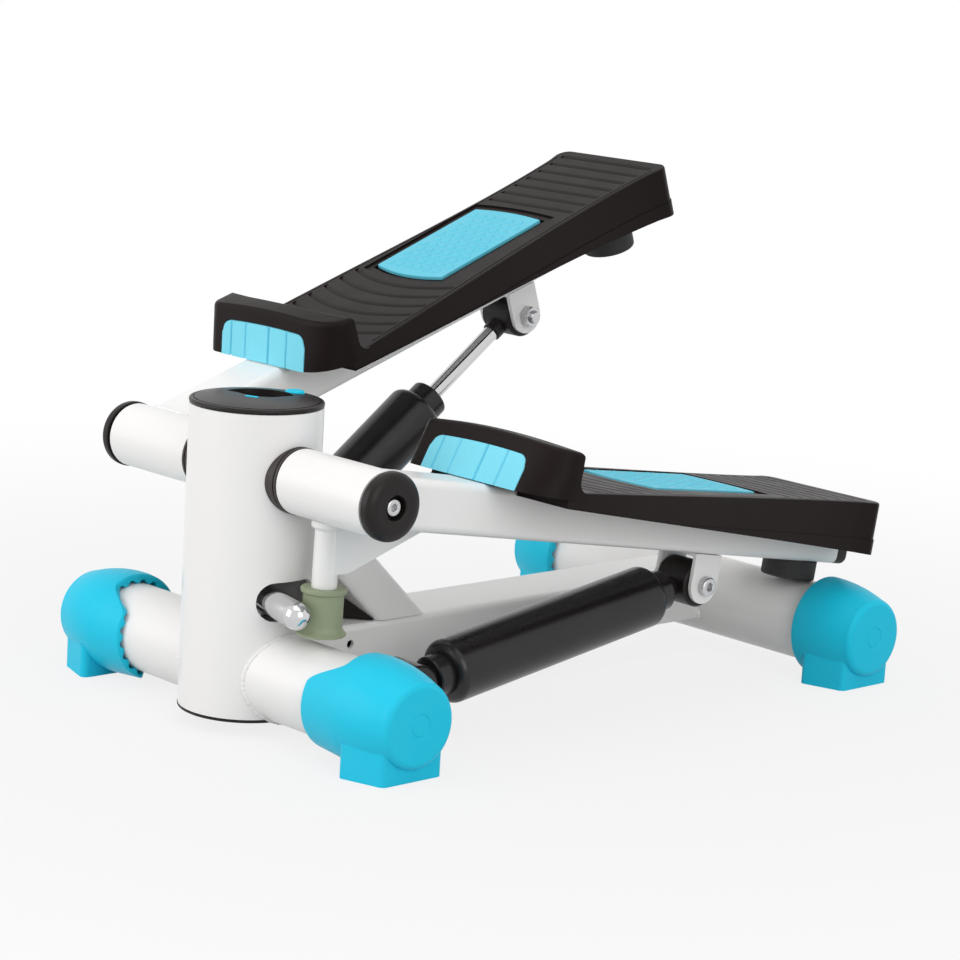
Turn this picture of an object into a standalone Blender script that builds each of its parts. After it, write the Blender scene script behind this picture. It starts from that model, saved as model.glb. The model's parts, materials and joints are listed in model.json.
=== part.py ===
"""Mini stepper: two damped pedal arms, tied together by a rocker bar in the column.

Metres, +Z up, +Y towards the heels, +X to the user's left. The origin is on the
floor under the middle of the outline. The left pedal is down and the right one is up.
Inside each arm's frame, x runs across the pedal, y along the arm and z square to it.
"""
import math

import bpy
import bmesh
from mathutils import Matrix, Vector

# Clearances
GAP = 0.0003
FIT = 0.0003
OPEN_PIVOT_PLAY = 0.0030

# Facets round a full circle
FINE = 32
MEDIUM = 20
SMALL = 12

# Cross tubes and centre beam
WHEELBASE = 0.3764
TUBE_R = 0.0250
TUBE_WALL = 0.0028
TUBE_FLOOR = 0.0070
BEAM_WIDTH = 0.0490
BEAM_HEIGHT = 0.0330
BEAM_RISE = 0.0206
BEAM_CORNER = 0.0040
BEAM_WALL = 0.0025
BEAM_HOLE_R = 0.0025
BEAM_HOLE_FROM_COLUMN = 0.0570
BRACE_DEPTH = 0.0260
BRACE_SLOPE = math.radians(43.5)
BRACE_FOOT = 0.0965
BRACE_REACH = 0.1200

# Column, its slots and the console on top
COLUMN_R = 0.0380
COLUMN_WALL = 0.0025
COLUMN_TOP_Z = 0.1830
BASE_CAP_RISE = 0.0005
BASE_CAP_RIM = 0.0020
BASE_CAP_LIP = 0.0003
SPIGOT_LENGTH = 0.0110
SLOT_HEIGHT = 0.0224
SLOT_HALF_SWEEP = math.radians(32.6)
CONSOLE_LIP = 0.0002
CONSOLE_RIM = 0.0030
CONSOLE_DOME = 0.0025
DIAL_R = 0.0205
DIAL_DEPTH = 0.0045
DISPLAY_SIZE = (0.0280, 0.0180, 0.0020)
BUTTON_R = 0.0056
BUTTON_PROUD = 0.0012
BUTTON_OFFSET = 0.0272
BUTTON_FLOOR = 0.0005
BUTTON_TRAVEL = 0.0012

# Moulded feet
FOOT_END_X = 0.1510
FOOT_WALL = 0.0035
FOOT_NOSE_DROP = 0.0065
FOOT_FACE_DROP = 0.0105
FOOT_NOSE_EDGE = 0.0040
FOOT_SKIRT_TAPER = 0.0022
FOOT_NOSE_LENGTH = 0.0400
FOOT_END_WALL = 0.0110
FOOT_BLOCK_LENGTH = 0.0295
FOOT_BLOCK_HALF_OUT = 0.0220
FOOT_BLOCK_HALF_IN = 0.0285
FOOT_BLOCK_INSET = 0.0045
FOOT_BLOCK_CORNER = 0.0040
FOOT_RIB_COUNT = 12
FOOT_RIB_HEIGHT = 0.0022
FOOT_RIB_RUN = 0.0220
REAR_SKIRT = 0.0420
FRONT_SKIRT = 0.0460
FRONT_LOBE = 0.0670
LOBE_ABOVE = 27.0
LOBE_BELOW = 66.0
LOBE_RAMP = 35.0

# Pedal pivot
PIVOT_Z = 0.1460
SHAFT_R = 0.0080
PIVOT_TUBE_R = 0.0187
PIVOT_TUBE_WALL = 0.0030
PIVOT_TUBE_IN = 0.0426
PIVOT_TUBE_OUT = 0.1126
BUSH_FLANGE = 0.0010
END_CAP_R = 0.0193
END_CAP_RIM = 0.0034
END_CAP_DOME = 0.0045
CAP_POCKET_R = 0.0070
CAP_POCKET_DEPTH = 0.0060
END_BOLT_R = 0.0030
END_BOLT_HEAD_R = 0.0050
END_BOLT_HEAD_HEIGHT = 0.0040

# Arms: angles at rest, with the left pedal down
PEDAL_SWING = math.radians(28.9)
ARM_X = 0.0862
ARM_WIDTH = 0.0380
ARM_HEIGHT = 0.0300
ARM_WALL = 0.0020
ARM_CORNER = 0.0050
ARM_PAST_BUMPER = 0.0220
PLUG_LENGTH = 0.0117
PLUG_SPIGOT = 0.0140
BUMPER_R = 0.0170
BUMPER_HEIGHT = 0.01243
BUMPER_FORWARD = 0.0157

# Rocker bar and the posts that push it
ROCKER_Z = 0.0770
ROCKER_BAR_R = 0.0080
ROCKER_HALF_LENGTH = 0.0770
ROCKER_HUB_R = 0.0130
ROCKER_HUB_REACH = 0.0140
ROCKER_PIN_R = 0.0050
SHELF_THICKNESS = 0.0040
POST_X = 0.0620
POST_R = 0.0073
POST_LENGTH = 0.0838
POST_FORWARD_TILT = math.radians(1.5)
POST_COLLAR_R = 0.0095
SLEEVE_R = 0.0115
SLEEVE_TOP_R = 0.0130
SLEEVE_FOOT_R = 0.0140
SLEEVE_START = 0.0560
SLEEVE_END = 0.0830
SLEEVE_FLANGE = 0.0030
SLEEVE_FLARE = 0.0060
GUSSET_THICKNESS = 0.0040
GUSSET_REACH = 0.0720
GUSSET_DROP = 0.0450

# Dampers
EYE_R = 0.0155
EYE_HALF_WIDTH = 0.0124
EAR_THICKNESS = 0.0030
EAR_R = 0.0115
BOLT_R = 0.0040
BOLT_HEAD_R = 0.0058
BOLT_HEAD_HEIGHT = 0.0045
NUT_R = 0.0070
NUT_HEIGHT = 0.0055
UPPER_PIVOT_ALONG = 0.2797
UPPER_PIVOT_DROP = 0.0344
UPPER_BUSH_R = 0.0140
BRACKET_WEB = 0.0020
CYLINDER_R = 0.0188
CYLINDER_START = 0.0285
CYLINDER_END = 0.1960
CYLINDER_SHOULDER = 0.0050
CYLINDER_WALL = 0.0030
CYLINDER_NECK_R = 0.0125
CYLINDER_NECK = 0.0115
CYLINDER_COLLAR = 0.0100
ROD_R = 0.0050
ROD_SHANK_R = 0.0062
ROD_SHANK = 0.0205
PISTON_AT = 0.0700
PISTON_LENGTH = 0.0120

# Footplate moulding, along the arm from the pivot
PLATE_FRONT = 0.0820
PLATE_SHORT = 0.0032
PLATE_SHIFT = 0.0035
PLATE_HALF_FRONT = 0.0580
PLATE_HALF_REAR = 0.0495
PLATE_WAIST = 0.0060
PLATE_TOP_FRONT = 0.0190
PLATE_TOP_REAR = 0.0303
PLATE_RIM_FRONT = 0.0118
PLATE_RIM_REAR = -0.0030
PLATE_SKIN = 0.0042
PLATE_WALL = 0.0030
PLATE_EDGE = 0.0015
PLATE_REAR_CORNER = 0.0090
TOE_TOP = 0.0455
TOE_CROWN = 0.0030
TOE_LEAN = 0.0110
TOE_SHARP_CORNER = 0.0090
TOE_ROUND_CORNER = 0.0265
TOE_BACK_MIDDLE = 0.1055
TOE_BACK_SIDE = 0.1110
TOE_FILLET = 0.0070
TOE_OVERLAP = 0.0020
TOE_PANEL_LEFT = -0.0390
TOE_PANEL_RIGHT = 0.0385
TOE_PANEL_GROOVES = (0.11, 0.29, 0.57, 0.79)
TOE_PANEL_TOP = 0.0365
TOE_PANEL_CORNER = 0.0070
TOE_PANEL_THICKNESS = 0.0025
TOE_PANEL_PROUD = 0.0004
TREAD_MIDDLE = 0.2505
TREAD_SHIFT = -0.0020
TREAD_LENGTH = 0.0950
TREAD_WIDTH = 0.0600
TREAD_FRONT_BOW = 0.0050
TREAD_REAR_BOW = 0.0025
TREAD_THICKNESS = 0.0022
TREAD_BORDER = 0.0065
TREAD_BORDER_DEPTH = 0.0012
RIB_WIDTH = 0.0020
RIB_DEPTH = 0.0012
RIB_EDGE = 0.0048
RIB_MARGIN = 0.0060
RIB_BOW = 0.0100
FRONT_RIBS = 6
REAR_RIBS = 7
WEB_COUNT = 4

# Places and angles that follow from the sizes above
TUBE_AXIS_Z = TUBE_R + TUBE_FLOOR
BEAM_TOP_Z = TUBE_AXIS_Z + BEAM_RISE
BASE_CAP_Z = TUBE_FLOOR + BASE_CAP_RISE
COLUMN_BASE_Z = BASE_CAP_Z + BASE_CAP_RIM
FOOT_R = TUBE_R + FIT + FOOT_RIB_HEIGHT + FOOT_WALL
CONSOLE_R = COLUMN_R + CONSOLE_LIP
CONSOLE_RIM_TOP_Z = COLUMN_TOP_Z + CONSOLE_RIM
BUTTON_FLOOR_Z = COLUMN_TOP_Z + BUTTON_FLOOR
COLUMN_Y = (CONSOLE_R - WHEELBASE - FOOT_R) / 2
REAR_Y = COLUMN_Y + WHEELBASE
ARM_TOP = ARM_HEIGHT / 2
PIVOT_RISE = PIVOT_Z - TUBE_AXIS_Z
LANDING = ARM_TOP + GAP + BUMPER_HEIGHT + GAP + TUBE_R
LOW_ANGLE = math.asin(LANDING / math.hypot(WHEELBASE, PIVOT_RISE)) - math.atan2(PIVOT_RISE, WHEELBASE)
HIGH_ANGLE = LOW_ANGLE + PEDAL_SWING
BUMPER_AT = WHEELBASE * math.cos(LOW_ANGLE) - PIVOT_RISE * math.sin(LOW_ANGLE) - BUMPER_FORWARD
ARM_END = BUMPER_AT + ARM_PAST_BUMPER
PLATE_REAR = ARM_END - PLATE_SHORT
COLUMN_BORE_R = COLUMN_R - COLUMN_WALL
DAMPER_REACH = TUBE_R + EAR_THICKNESS + EYE_R + 4 * GAP
POST_LEVER = PIVOT_Z - ROCKER_Z
ROCKER_HALF_SWING = math.atan(POST_LEVER / POST_X * math.tan(PEDAL_SWING / 2))
POST_CONTACT = ROCKER_BAR_R + SLEEVE_R + GAP
POST_OFFSET = (
    POST_CONTACT / math.cos(ROCKER_HALF_SWING)
    - POST_X * math.tan(ROCKER_HALF_SWING) * math.cos(POST_FORWARD_TILT)
    + POST_LEVER * math.sin(POST_FORWARD_TILT)
)
POST_TILT = -LOW_ANGLE - POST_FORWARD_TILT
EAR_INNER = EYE_HALF_WIDTH + GAP
EAR_OUTER = EAR_INNER + EAR_THICKNESS

SIDES = {"left": 1, "right": -1}


def remove_scene_objects():
    """Start from an empty scene."""
    for item in list(bpy.data.objects):
        bpy.data.objects.remove(item)


def material(name, colour, roughness, metallic=0.0):
    """One finish, as a Principled BSDF."""
    finish = bpy.data.materials.new(name)
    finish.use_nodes = True
    shader = finish.node_tree.nodes["Principled BSDF"]
    shader.inputs["Base Color"].default_value = (*colour, 1.0)
    shader.inputs["Roughness"].default_value = roughness
    shader.inputs["Metallic"].default_value = metallic
    return finish


def on_axis(axis, along, across, up):
    """A point given by its place along an axis and in the plane square to it."""
    if axis == "X":
        return Vector((along, across, up))
    if axis == "Y":
        return Vector((across, along, up))
    return Vector((across, up, along))


def circle(axis, along, radius, sides=MEDIUM):
    """A ring of points round an axis, or one point where the radius is nothing."""
    if radius == 0:
        return [on_axis(axis, along, 0, 0)]
    turns = (2 * math.pi * index / sides for index in range(sides))
    return [on_axis(axis, along, radius * math.cos(turn), radius * math.sin(turn)) for turn in turns]


def hexagon(axis, along, radius, sides=SMALL):
    """A six-sided ring that has as many points as a round one."""
    points = []
    for index in range(sides):
        turn = 2 * math.pi * index / sides
        off_flat = (turn % (math.pi / 3)) - math.pi / 6
        reach = radius * math.cos(math.pi / 6) / math.cos(off_flat)
        points.append(on_axis(axis, along, reach * math.cos(turn), reach * math.sin(turn)))
    return points


def rounded_rectangle(width, height, corner, steps=3):
    """An outline about the origin, with round corners."""
    outline = []
    centres = ((1, 1, 0), (-1, 1, 90), (-1, -1, 180), (1, -1, 270))
    for side, level, start in centres:
        for step in range(steps + 1):
            turn = math.radians(start + 90 * step / steps)
            across = side * (width / 2 - corner) + corner * math.cos(turn)
            up = level * (height / 2 - corner) + corner * math.sin(turn)
            outline.append((across, up))
    return outline


def arc_points(centre, radius, start, end, steps):
    """Points on a round stretch, angles in degrees."""
    points = []
    for step in range(steps + 1):
        turn = math.radians(start + (end - start) * step / steps)
        points.append((centre[0] + radius * math.cos(turn), centre[1] + radius * math.sin(turn)))
    return points


def skin(rings, closed=False):
    """A solid through a row of rings. A closed row is a ring-shaped solid."""
    solid = bmesh.new()
    rows = [[solid.verts.new(point) for point in ring] for ring in rings]
    pairs = list(zip(rows, rows[1:]))
    if closed:
        pairs.append((rows[-1], rows[0]))
    for lower, upper in pairs:
        join_rows(solid, lower, upper)
    if not closed:
        for end in (rows[0], rows[-1]):
            if len(end) > 1:
                solid.faces.new(end)
    bmesh.ops.recalc_face_normals(solid, faces=solid.faces)
    return solid


def join_rows(solid, lower, upper):
    """Faces between two rings, or between a ring and a single point."""
    count = max(len(lower), len(upper))
    for index in range(count):
        after = (index + 1) % count
        corners = [lower[index % len(lower)], lower[after % len(lower)]]
        corners += [upper[after % len(upper)], upper[index % len(upper)]]
        face = list(dict.fromkeys(corners))
        solid.faces.new(face)


def turned(axis, profile, sides=MEDIUM, closed=False):
    """A turned solid from (along, radius) steps."""
    return skin([circle(axis, along, radius, sides) for along, radius in profile], closed)


def rod(axis, start, end, radius, sides=MEDIUM):
    """A plain round bar."""
    return turned(axis, ((start, 0), (start, radius), (end, radius), (end, 0)), sides)


def pipe(axis, start, end, radius, bore, sides=MEDIUM):
    """A plain round tube."""
    profile = ((start, bore), (start, radius), (end, radius), (end, bore))
    return turned(axis, profile, sides, closed=True)


def prism(axis, start, end, outline):
    """An outline drawn out along an axis."""
    return skin([[on_axis(axis, along, *point) for point in outline] for along in (start, end)])


def box_pipe(start, end, width, height, wall, corner):
    """A square tube along Y, about the Y axis."""
    outer = rounded_rectangle(width, height, corner)
    inner = rounded_rectangle(width - 2 * wall, height - 2 * wall, corner - wall / 2)
    rings = []
    for along, outline in ((start, inner), (start, outer), (end, outer), (end, inner)):
        rings.append([on_axis("Y", along, *point) for point in outline])
    return skin(rings, closed=True)


def box(low, high):
    """A plain block between two corners."""
    outline = ((low[0], low[1]), (high[0], low[1]), (high[0], high[1]), (low[0], high[1]))
    return prism("Z", low[2], high[2], outline)


def moved(solid, offset=(0, 0, 0), turn=0.0, axis="X"):
    """The same solid, turned about an axis and then shifted."""
    matrix = Matrix.Translation(offset) @ Matrix.Rotation(turn, 4, axis)
    bmesh.ops.transform(solid, matrix=matrix, verts=solid.verts)
    return solid


def as_object(name, solid, finish=None):
    """A named object from a solid."""
    mesh = bpy.data.meshes.new(name)
    solid.to_mesh(mesh)
    solid.free()
    if finish:
        mesh.materials.append(finish)
    item = bpy.data.objects.new(name, mesh)
    bpy.context.scene.collection.objects.link(item)
    return item


def combine(item, solid, operation):
    """Cut a solid from an object, or join it on."""
    tool = as_object("tool", solid)
    modifier = item.modifiers.new(operation, "BOOLEAN")
    modifier.operation = operation
    modifier.solver = "EXACT"
    modifier.object = tool
    graph = bpy.context.evaluated_depsgraph_get()
    graph.update()
    result = bpy.data.meshes.new_from_object(item.evaluated_get(graph))
    item.modifiers.remove(modifier)
    item.data = result
    bpy.data.objects.remove(tool)


def cut(item, *solids):
    """Cut each solid away from the object."""
    for solid in solids:
        combine(item, solid, "DIFFERENCE")


def join(item, *solids):
    """Join each solid onto the object."""
    for solid in solids:
        combine(item, solid, "UNION")


def place(item, parent=None, location=(0, 0, 0)):
    """Shade an object and set it on its parent."""
    item.data.shade_smooth()
    item.data.set_sharp_from_angle(angle=math.radians(35))
    item.parent = parent
    item.location = location
    return item


def joint(name, location, parent=None, turn=0.0, axis="X"):
    """An empty on a joint's axis. The pieces that it carries are its children."""
    empty = bpy.data.objects.new(name, None)
    bpy.context.scene.collection.objects.link(empty)
    empty.location = location
    if axis == "X":
        empty.rotation_euler.x = turn
    else:
        empty.rotation_euler.z = turn
    empty.parent = parent
    return empty


def column_clearance(radius=COLUMN_R + GAP):
    """The room that the column takes out of a piece that is fitted to it."""
    return moved(rod("Z", -COLUMN_R, COLUMN_TOP_Z + COLUMN_R, radius, FINE), (0, COLUMN_Y, 0))


def shared(item, name):
    """A second object with the same mesh."""
    twin = bpy.data.objects.new(name, item.data)
    bpy.context.scene.collection.objects.link(twin)
    return twin


def slot_cutter(side):
    """The room of one slot, bent round the column, with half-round ends."""
    end_r = SLOT_HEIGHT / 2
    half_run = COLUMN_R * SLOT_HALF_SWEEP - end_r
    outline = []
    for start, centre in ((-90, half_run), (90, -half_run)):
        for step in range(9):
            turn = math.radians(start + 180 * step / 8)
            outline.append((centre + end_r * math.cos(turn), end_r * math.sin(turn)))
    rings = []
    for radius in (COLUMN_BORE_R - 2 * COLUMN_WALL, 1.1 * COLUMN_R / math.cos(SLOT_HALF_SWEEP)):
        points = []
        for run, level in outline:
            turn = run / COLUMN_R
            across = side * radius * math.cos(turn)
            points.append(Vector((across, radius * math.sin(turn), ROCKER_Z + level)))
        rings.append(points)
    return skin(rings)


def build_column(finishes):
    """The upright tube, slotted for the rocker and drilled for the pedal shaft."""
    tube = pipe("Z", COLUMN_BASE_Z, COLUMN_TOP_Z, COLUMN_R, COLUMN_BORE_R, FINE)
    column = as_object("column_tube", tube, finishes["white"])
    shaft_room = rod("X", -2 * COLUMN_R, 2 * COLUMN_R, SHAFT_R + GAP)
    cut(column, slot_cutter(1), slot_cutter(-1), moved(shaft_room, (0, 0, PIVOT_Z)))
    place(column, location=(0, COLUMN_Y, 0))
    spigot_r = COLUMN_BORE_R - GAP
    lip_r = COLUMN_R + BASE_CAP_LIP
    floor_z = BASE_CAP_Z + COLUMN_WALL
    profile = (
        (BASE_CAP_Z, 0), (BASE_CAP_Z, lip_r - 0.001), (BASE_CAP_Z + 0.001, lip_r),
        (COLUMN_BASE_Z - GAP, lip_r), (COLUMN_BASE_Z - GAP, spigot_r),
        (COLUMN_BASE_Z + SPIGOT_LENGTH, spigot_r), (COLUMN_BASE_Z + SPIGOT_LENGTH, spigot_r - COLUMN_WALL),
        (floor_z, spigot_r - COLUMN_WALL), (floor_z, 0),
    )
    place(as_object("column_base_cap", turned("Z", profile, FINE), finishes["black"]), location=(0, COLUMN_Y, 0))


def build_console(finishes):
    """The domed counter housing, its display and its button."""
    spigot_r = COLUMN_BORE_R - GAP
    dome_top = CONSOLE_RIM_TOP_Z + CONSOLE_DOME
    dial_floor = dome_top - DIAL_DEPTH
    roof = dial_floor - 0.0035
    profile = (
        (roof, 0), (roof, spigot_r - COLUMN_WALL), (COLUMN_TOP_Z - SPIGOT_LENGTH, spigot_r - COLUMN_WALL),
        (COLUMN_TOP_Z - SPIGOT_LENGTH, spigot_r), (COLUMN_TOP_Z + GAP, spigot_r),
        (COLUMN_TOP_Z + GAP, CONSOLE_R - 0.001), (COLUMN_TOP_Z + 0.0013, CONSOLE_R),
        (CONSOLE_RIM_TOP_Z - 0.0015, CONSOLE_R), (CONSOLE_RIM_TOP_Z, CONSOLE_R - 0.0012),
        (CONSOLE_RIM_TOP_Z + 0.5 * CONSOLE_DOME, 0.5 * (CONSOLE_R + DIAL_R) + 0.001),
        (dome_top - 0.0003, DIAL_R + 0.002), (dome_top, DIAL_R + 0.0008),
        (dome_top - 0.0006, DIAL_R), (dial_floor, DIAL_R - 0.001), (dial_floor, 0),
    )
    housing = as_object("console_housing", turned("Z", profile, FINE), finishes["black"])
    width, depth, thickness = DISPLAY_SIZE
    window = box(
        (-width / 2 - GAP, -depth / 2 - GAP, dial_floor - thickness + 0.0004),
        (width / 2 + GAP, depth / 2 + GAP, dome_top),
    )
    button_room = rod("Z", BUTTON_FLOOR_Z, 2 * dome_top - roof, BUTTON_R + FIT, SMALL)
    button_room = moved(button_room, (0, BUTTON_OFFSET, 0))
    cut(housing, window, button_room)
    place(housing, location=(0, COLUMN_Y, 0))
    display_low = dial_floor - thickness + 0.0004 + GAP
    display = box((-width / 2, -depth / 2, display_low), (width / 2, depth / 2, display_low + thickness))
    place(as_object("console_display", display, finishes["glass"]), location=(0, COLUMN_Y, 0))
    place(console_button(finishes["cyan"]), location=(0, COLUMN_Y + BUTTON_OFFSET, 0))


def console_button(finish):
    """The push button in its pocket, with room for its travel below it."""
    slope = (BUTTON_OFFSET - DIAL_R) / (CONSOLE_R - DIAL_R)
    top = CONSOLE_RIM_TOP_Z + CONSOLE_DOME * (1 - slope) + BUTTON_PROUD
    bottom = BUTTON_FLOOR_Z + BUTTON_TRAVEL + GAP
    profile = (
        (bottom, 0), (bottom, BUTTON_R), (top - 0.0007, BUTTON_R), (top, BUTTON_R - 0.0015), (top, 0),
    )
    return as_object("console_button", turned("Z", profile, SMALL), finish)


def build_frame(finishes):
    """Cross tubes, centre beam, brace and the guard under the brace."""
    tube_half = FOOT_END_X - FOOT_END_WALL - GAP
    for side_name, side in SIDES.items():
        stub = pipe("X", side * COLUMN_R / 2, side * tube_half, TUBE_R, TUBE_R - TUBE_WALL, FINE)
        stub = as_object(f"front_tube_{side_name}", moved(stub, (0, COLUMN_Y, TUBE_AXIS_Z)), finishes["white"])
        cut(stub, column_clearance())
        place(stub)
    rear = pipe("X", -tube_half, tube_half, TUBE_R, TUBE_R - TUBE_WALL, FINE)
    place(as_object("rear_cross_tube", rear, finishes["white"]), location=(0, REAR_Y, TUBE_AXIS_Z))
    build_beam(finishes["white"])
    build_brace(finishes["white"])
    build_guard(finishes["black"])


def build_beam(finish):
    """The square tube that ties the column to the rear tube, shaped to both."""
    middle_z = BEAM_TOP_Z - BEAM_HEIGHT / 2
    length = WHEELBASE - COLUMN_R / 2 - TUBE_R / 2
    beam = box_pipe(0, length, BEAM_WIDTH, BEAM_HEIGHT, BEAM_WALL, BEAM_CORNER)
    beam = as_object("main_beam", moved(beam, (0, COLUMN_Y + COLUMN_R / 2, middle_z)), finish)
    rear_room = moved(rod("X", -BEAM_WIDTH, BEAM_WIDTH, TUBE_R + GAP, FINE), (0, REAR_Y, TUBE_AXIS_Z))
    hole = rod("X", 0, BEAM_WIDTH, BEAM_HOLE_R, 16)
    hole = moved(hole, (0, COLUMN_Y + BEAM_HOLE_FROM_COLUMN, BEAM_TOP_Z - BEAM_HEIGHT / 3))
    cut(beam, column_clearance(), rear_room, hole)
    place(beam)


def build_brace(finish):
    """The sloping strut between the column and the beam, cut to fit both."""
    brace = box_pipe(-BRACE_REACH, BRACE_REACH / 3, BEAM_WIDTH, BRACE_DEPTH, BEAM_WALL, BEAM_CORNER)
    foot = (0, COLUMN_Y + BRACE_FOOT, BEAM_TOP_Z)
    brace = as_object("column_brace", moved(brace, foot, -BRACE_SLOPE), finish)
    below = box((-BEAM_WIDTH, COLUMN_Y, -BEAM_TOP_Z), (BEAM_WIDTH, REAR_Y, BEAM_TOP_Z + GAP))
    before = box((-BEAM_WIDTH, COLUMN_Y - WHEELBASE, 0), (BEAM_WIDTH, COLUMN_Y, 2 * COLUMN_TOP_Z))
    cut(brace, column_clearance(), before, below)
    place(brace)


def build_guard(finish):
    """The black moulded filler in the corner of column, brace and beam."""
    narrow = 0.0090
    wide = BEAM_WIDTH / 2 - GAP
    start = COLUMN_R / 2
    neck = 0.0630
    spread = 0.0770
    end = BRACE_FOOT
    plan = (
        (-narrow, start), (narrow, start), (narrow, neck), (wide, spread), (wide, end),
        (-wide, end), (-wide, spread), (-narrow, neck),
    )
    guard = moved(prism("Z", BEAM_TOP_Z + GAP, PIVOT_Z, plan), (0, COLUMN_Y, 0))
    guard = as_object("rocker_guard", guard, finish)
    brace_under = -BRACE_DEPTH / 2 - GAP
    brace_room = box((-BEAM_WIDTH, -2 * BRACE_REACH, brace_under), (BEAM_WIDTH, 2 * BRACE_REACH, 2 * BRACE_REACH))
    brace_room = moved(brace_room, (0, COLUMN_Y + BRACE_FOOT, BEAM_TOP_Z), -BRACE_SLOPE)
    cut(guard, column_clearance(), brace_room)
    place(guard)


def smooth_step(value):
    """A soft ramp from 0 to 1."""
    value = min(max(value, 0.0), 1.0)
    return value * value * (3 - 2 * value)


def skirt_edge(turn, front):
    """How far a foot's skirt reaches along the tube, round the tube. 0 is the front."""
    if not front:
        return REAR_SKIRT
    degrees = math.degrees(turn)
    if degrees > 180:
        degrees -= 360
    if degrees > 0:
        lobe = 1 - smooth_step((degrees - LOBE_ABOVE) / LOBE_RAMP)
    else:
        lobe = 1 - smooth_step((-degrees - LOBE_BELOW) / LOBE_RAMP)
    return FRONT_SKIRT + (FRONT_LOBE - FRONT_SKIRT) * lobe


def foot_ring(depth, radius):
    """A ring round the cross tube, at a depth from the foot's end face."""
    return [Vector((-depth, -radius * math.cos(turn), radius * math.sin(turn))) for turn in foot_turns()]


def foot_turns():
    """The angles of the points round a foot, from the front over the top."""
    return [2 * math.pi * index / FINE for index in range(FINE)]


def skirt_ring(front, start_r):
    """The skirt's edge as a ring. It reaches further along the tube at the front."""
    points = []
    for turn in foot_turns():
        reach = skirt_edge(turn, front)
        radius = start_r - FOOT_SKIRT_TAPER * (reach - FOOT_NOSE_LENGTH) / (FRONT_LOBE - FOOT_NOSE_LENGTH)
        points.append(Vector((-reach, -radius * math.cos(turn), radius * math.sin(turn))))
    return points


def foot_body(front):
    """The outside of a foot: a nose that swells into a skirt with a shaped edge."""
    nose_r = FOOT_R - FOOT_NOSE_DROP
    rings = [[Vector((0, 0, 0))]]
    for step in range(3):
        turn = math.pi / 2 * step / 3
        edge_r = FOOT_R - FOOT_FACE_DROP + FOOT_NOSE_EDGE * math.sin(turn)
        rings.append(foot_ring(FOOT_NOSE_EDGE * (1 - math.cos(turn)), edge_r))
    for step in range(4):
        share = step / 3
        depth = FOOT_NOSE_EDGE + (FOOT_NOSE_LENGTH - FOOT_NOSE_EDGE) * share
        rings.append(foot_ring(depth, nose_r + FOOT_NOSE_DROP * share * (2 - share)))
    rings += [skirt_ring(front, FOOT_R), skirt_ring(front, 0.7 * TUBE_R), [Vector((-FRONT_SKIRT, 0, 0))]]
    return skin(rings)


def foot_bore():
    """The room inside a foot: round at the nose, then slotted so that ribs hold the tube."""
    count = 4 * FOOT_RIB_COUNT
    slotted = []
    plain = []
    for index in range(count):
        turn = 2 * math.pi * (index + 0.5) / count
        radius = TUBE_R + FIT
        plain.append((radius * math.cos(turn), radius * math.sin(turn)))
        if index % 4 in (1, 2):
            radius += FOOT_RIB_HEIGHT
        slotted.append((radius * math.cos(turn), radius * math.sin(turn)))
    rings = []
    for along, outline in (
        (-2 * FRONT_LOBE, slotted), (-FOOT_RIB_RUN, slotted), (0.001 - FOOT_RIB_RUN, plain), (-FOOT_END_WALL, plain),
    ):
        rings.append([on_axis("X", along, *point) for point in outline])
    return skin(rings)


def block_outline():
    """The standing block in plan: it widens away from the foot's end."""
    corner = FOOT_BLOCK_CORNER
    outer = -FOOT_BLOCK_INSET - corner
    inner = -FOOT_BLOCK_INSET - FOOT_BLOCK_LENGTH + corner
    narrow = FOOT_BLOCK_HALF_OUT - corner
    wide = FOOT_BLOCK_HALF_IN - corner
    outline = arc_points((outer, narrow), corner, 0, 90, 3)
    outline += arc_points((inner, wide), corner, 90, 180, 3)
    outline += arc_points((inner, -wide), corner, 180, 270, 3)
    outline += arc_points((outer, -narrow), corner, 270, 360, 3)
    return outline


def foot_mesh(name, front, finish):
    """A whole foot: nose, skirt, standing block and ribbed bore, end face at x = 0."""
    foot = as_object(name, foot_body(front), finish)
    join(foot, prism("Z", -TUBE_AXIS_Z, -TUBE_R / 2, block_outline()))
    cut(foot, foot_bore())
    return foot


def build_feet(finish):
    """Four push-on feet. The front pair has a lobe on its skirt."""
    for end_name, front, where in (("front", True, COLUMN_Y), ("rear", False, REAR_Y)):
        left = foot_mesh(f"{end_name}_left_foot", front, finish)
        right = as_object(f"{end_name}_right_foot", mirrored(left), finish)
        place(left, location=(FOOT_END_X, where, TUBE_AXIS_Z))
        place(right, location=(-FOOT_END_X, where, TUBE_AXIS_Z))


def mirrored(item):
    """The solid of an object, mirrored from left to right."""
    solid = bmesh.new()
    solid.from_mesh(item.data)
    bmesh.ops.scale(solid, vec=(-1, 1, 1), verts=solid.verts)
    bmesh.ops.reverse_faces(solid, faces=solid.faces)
    return solid


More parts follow.
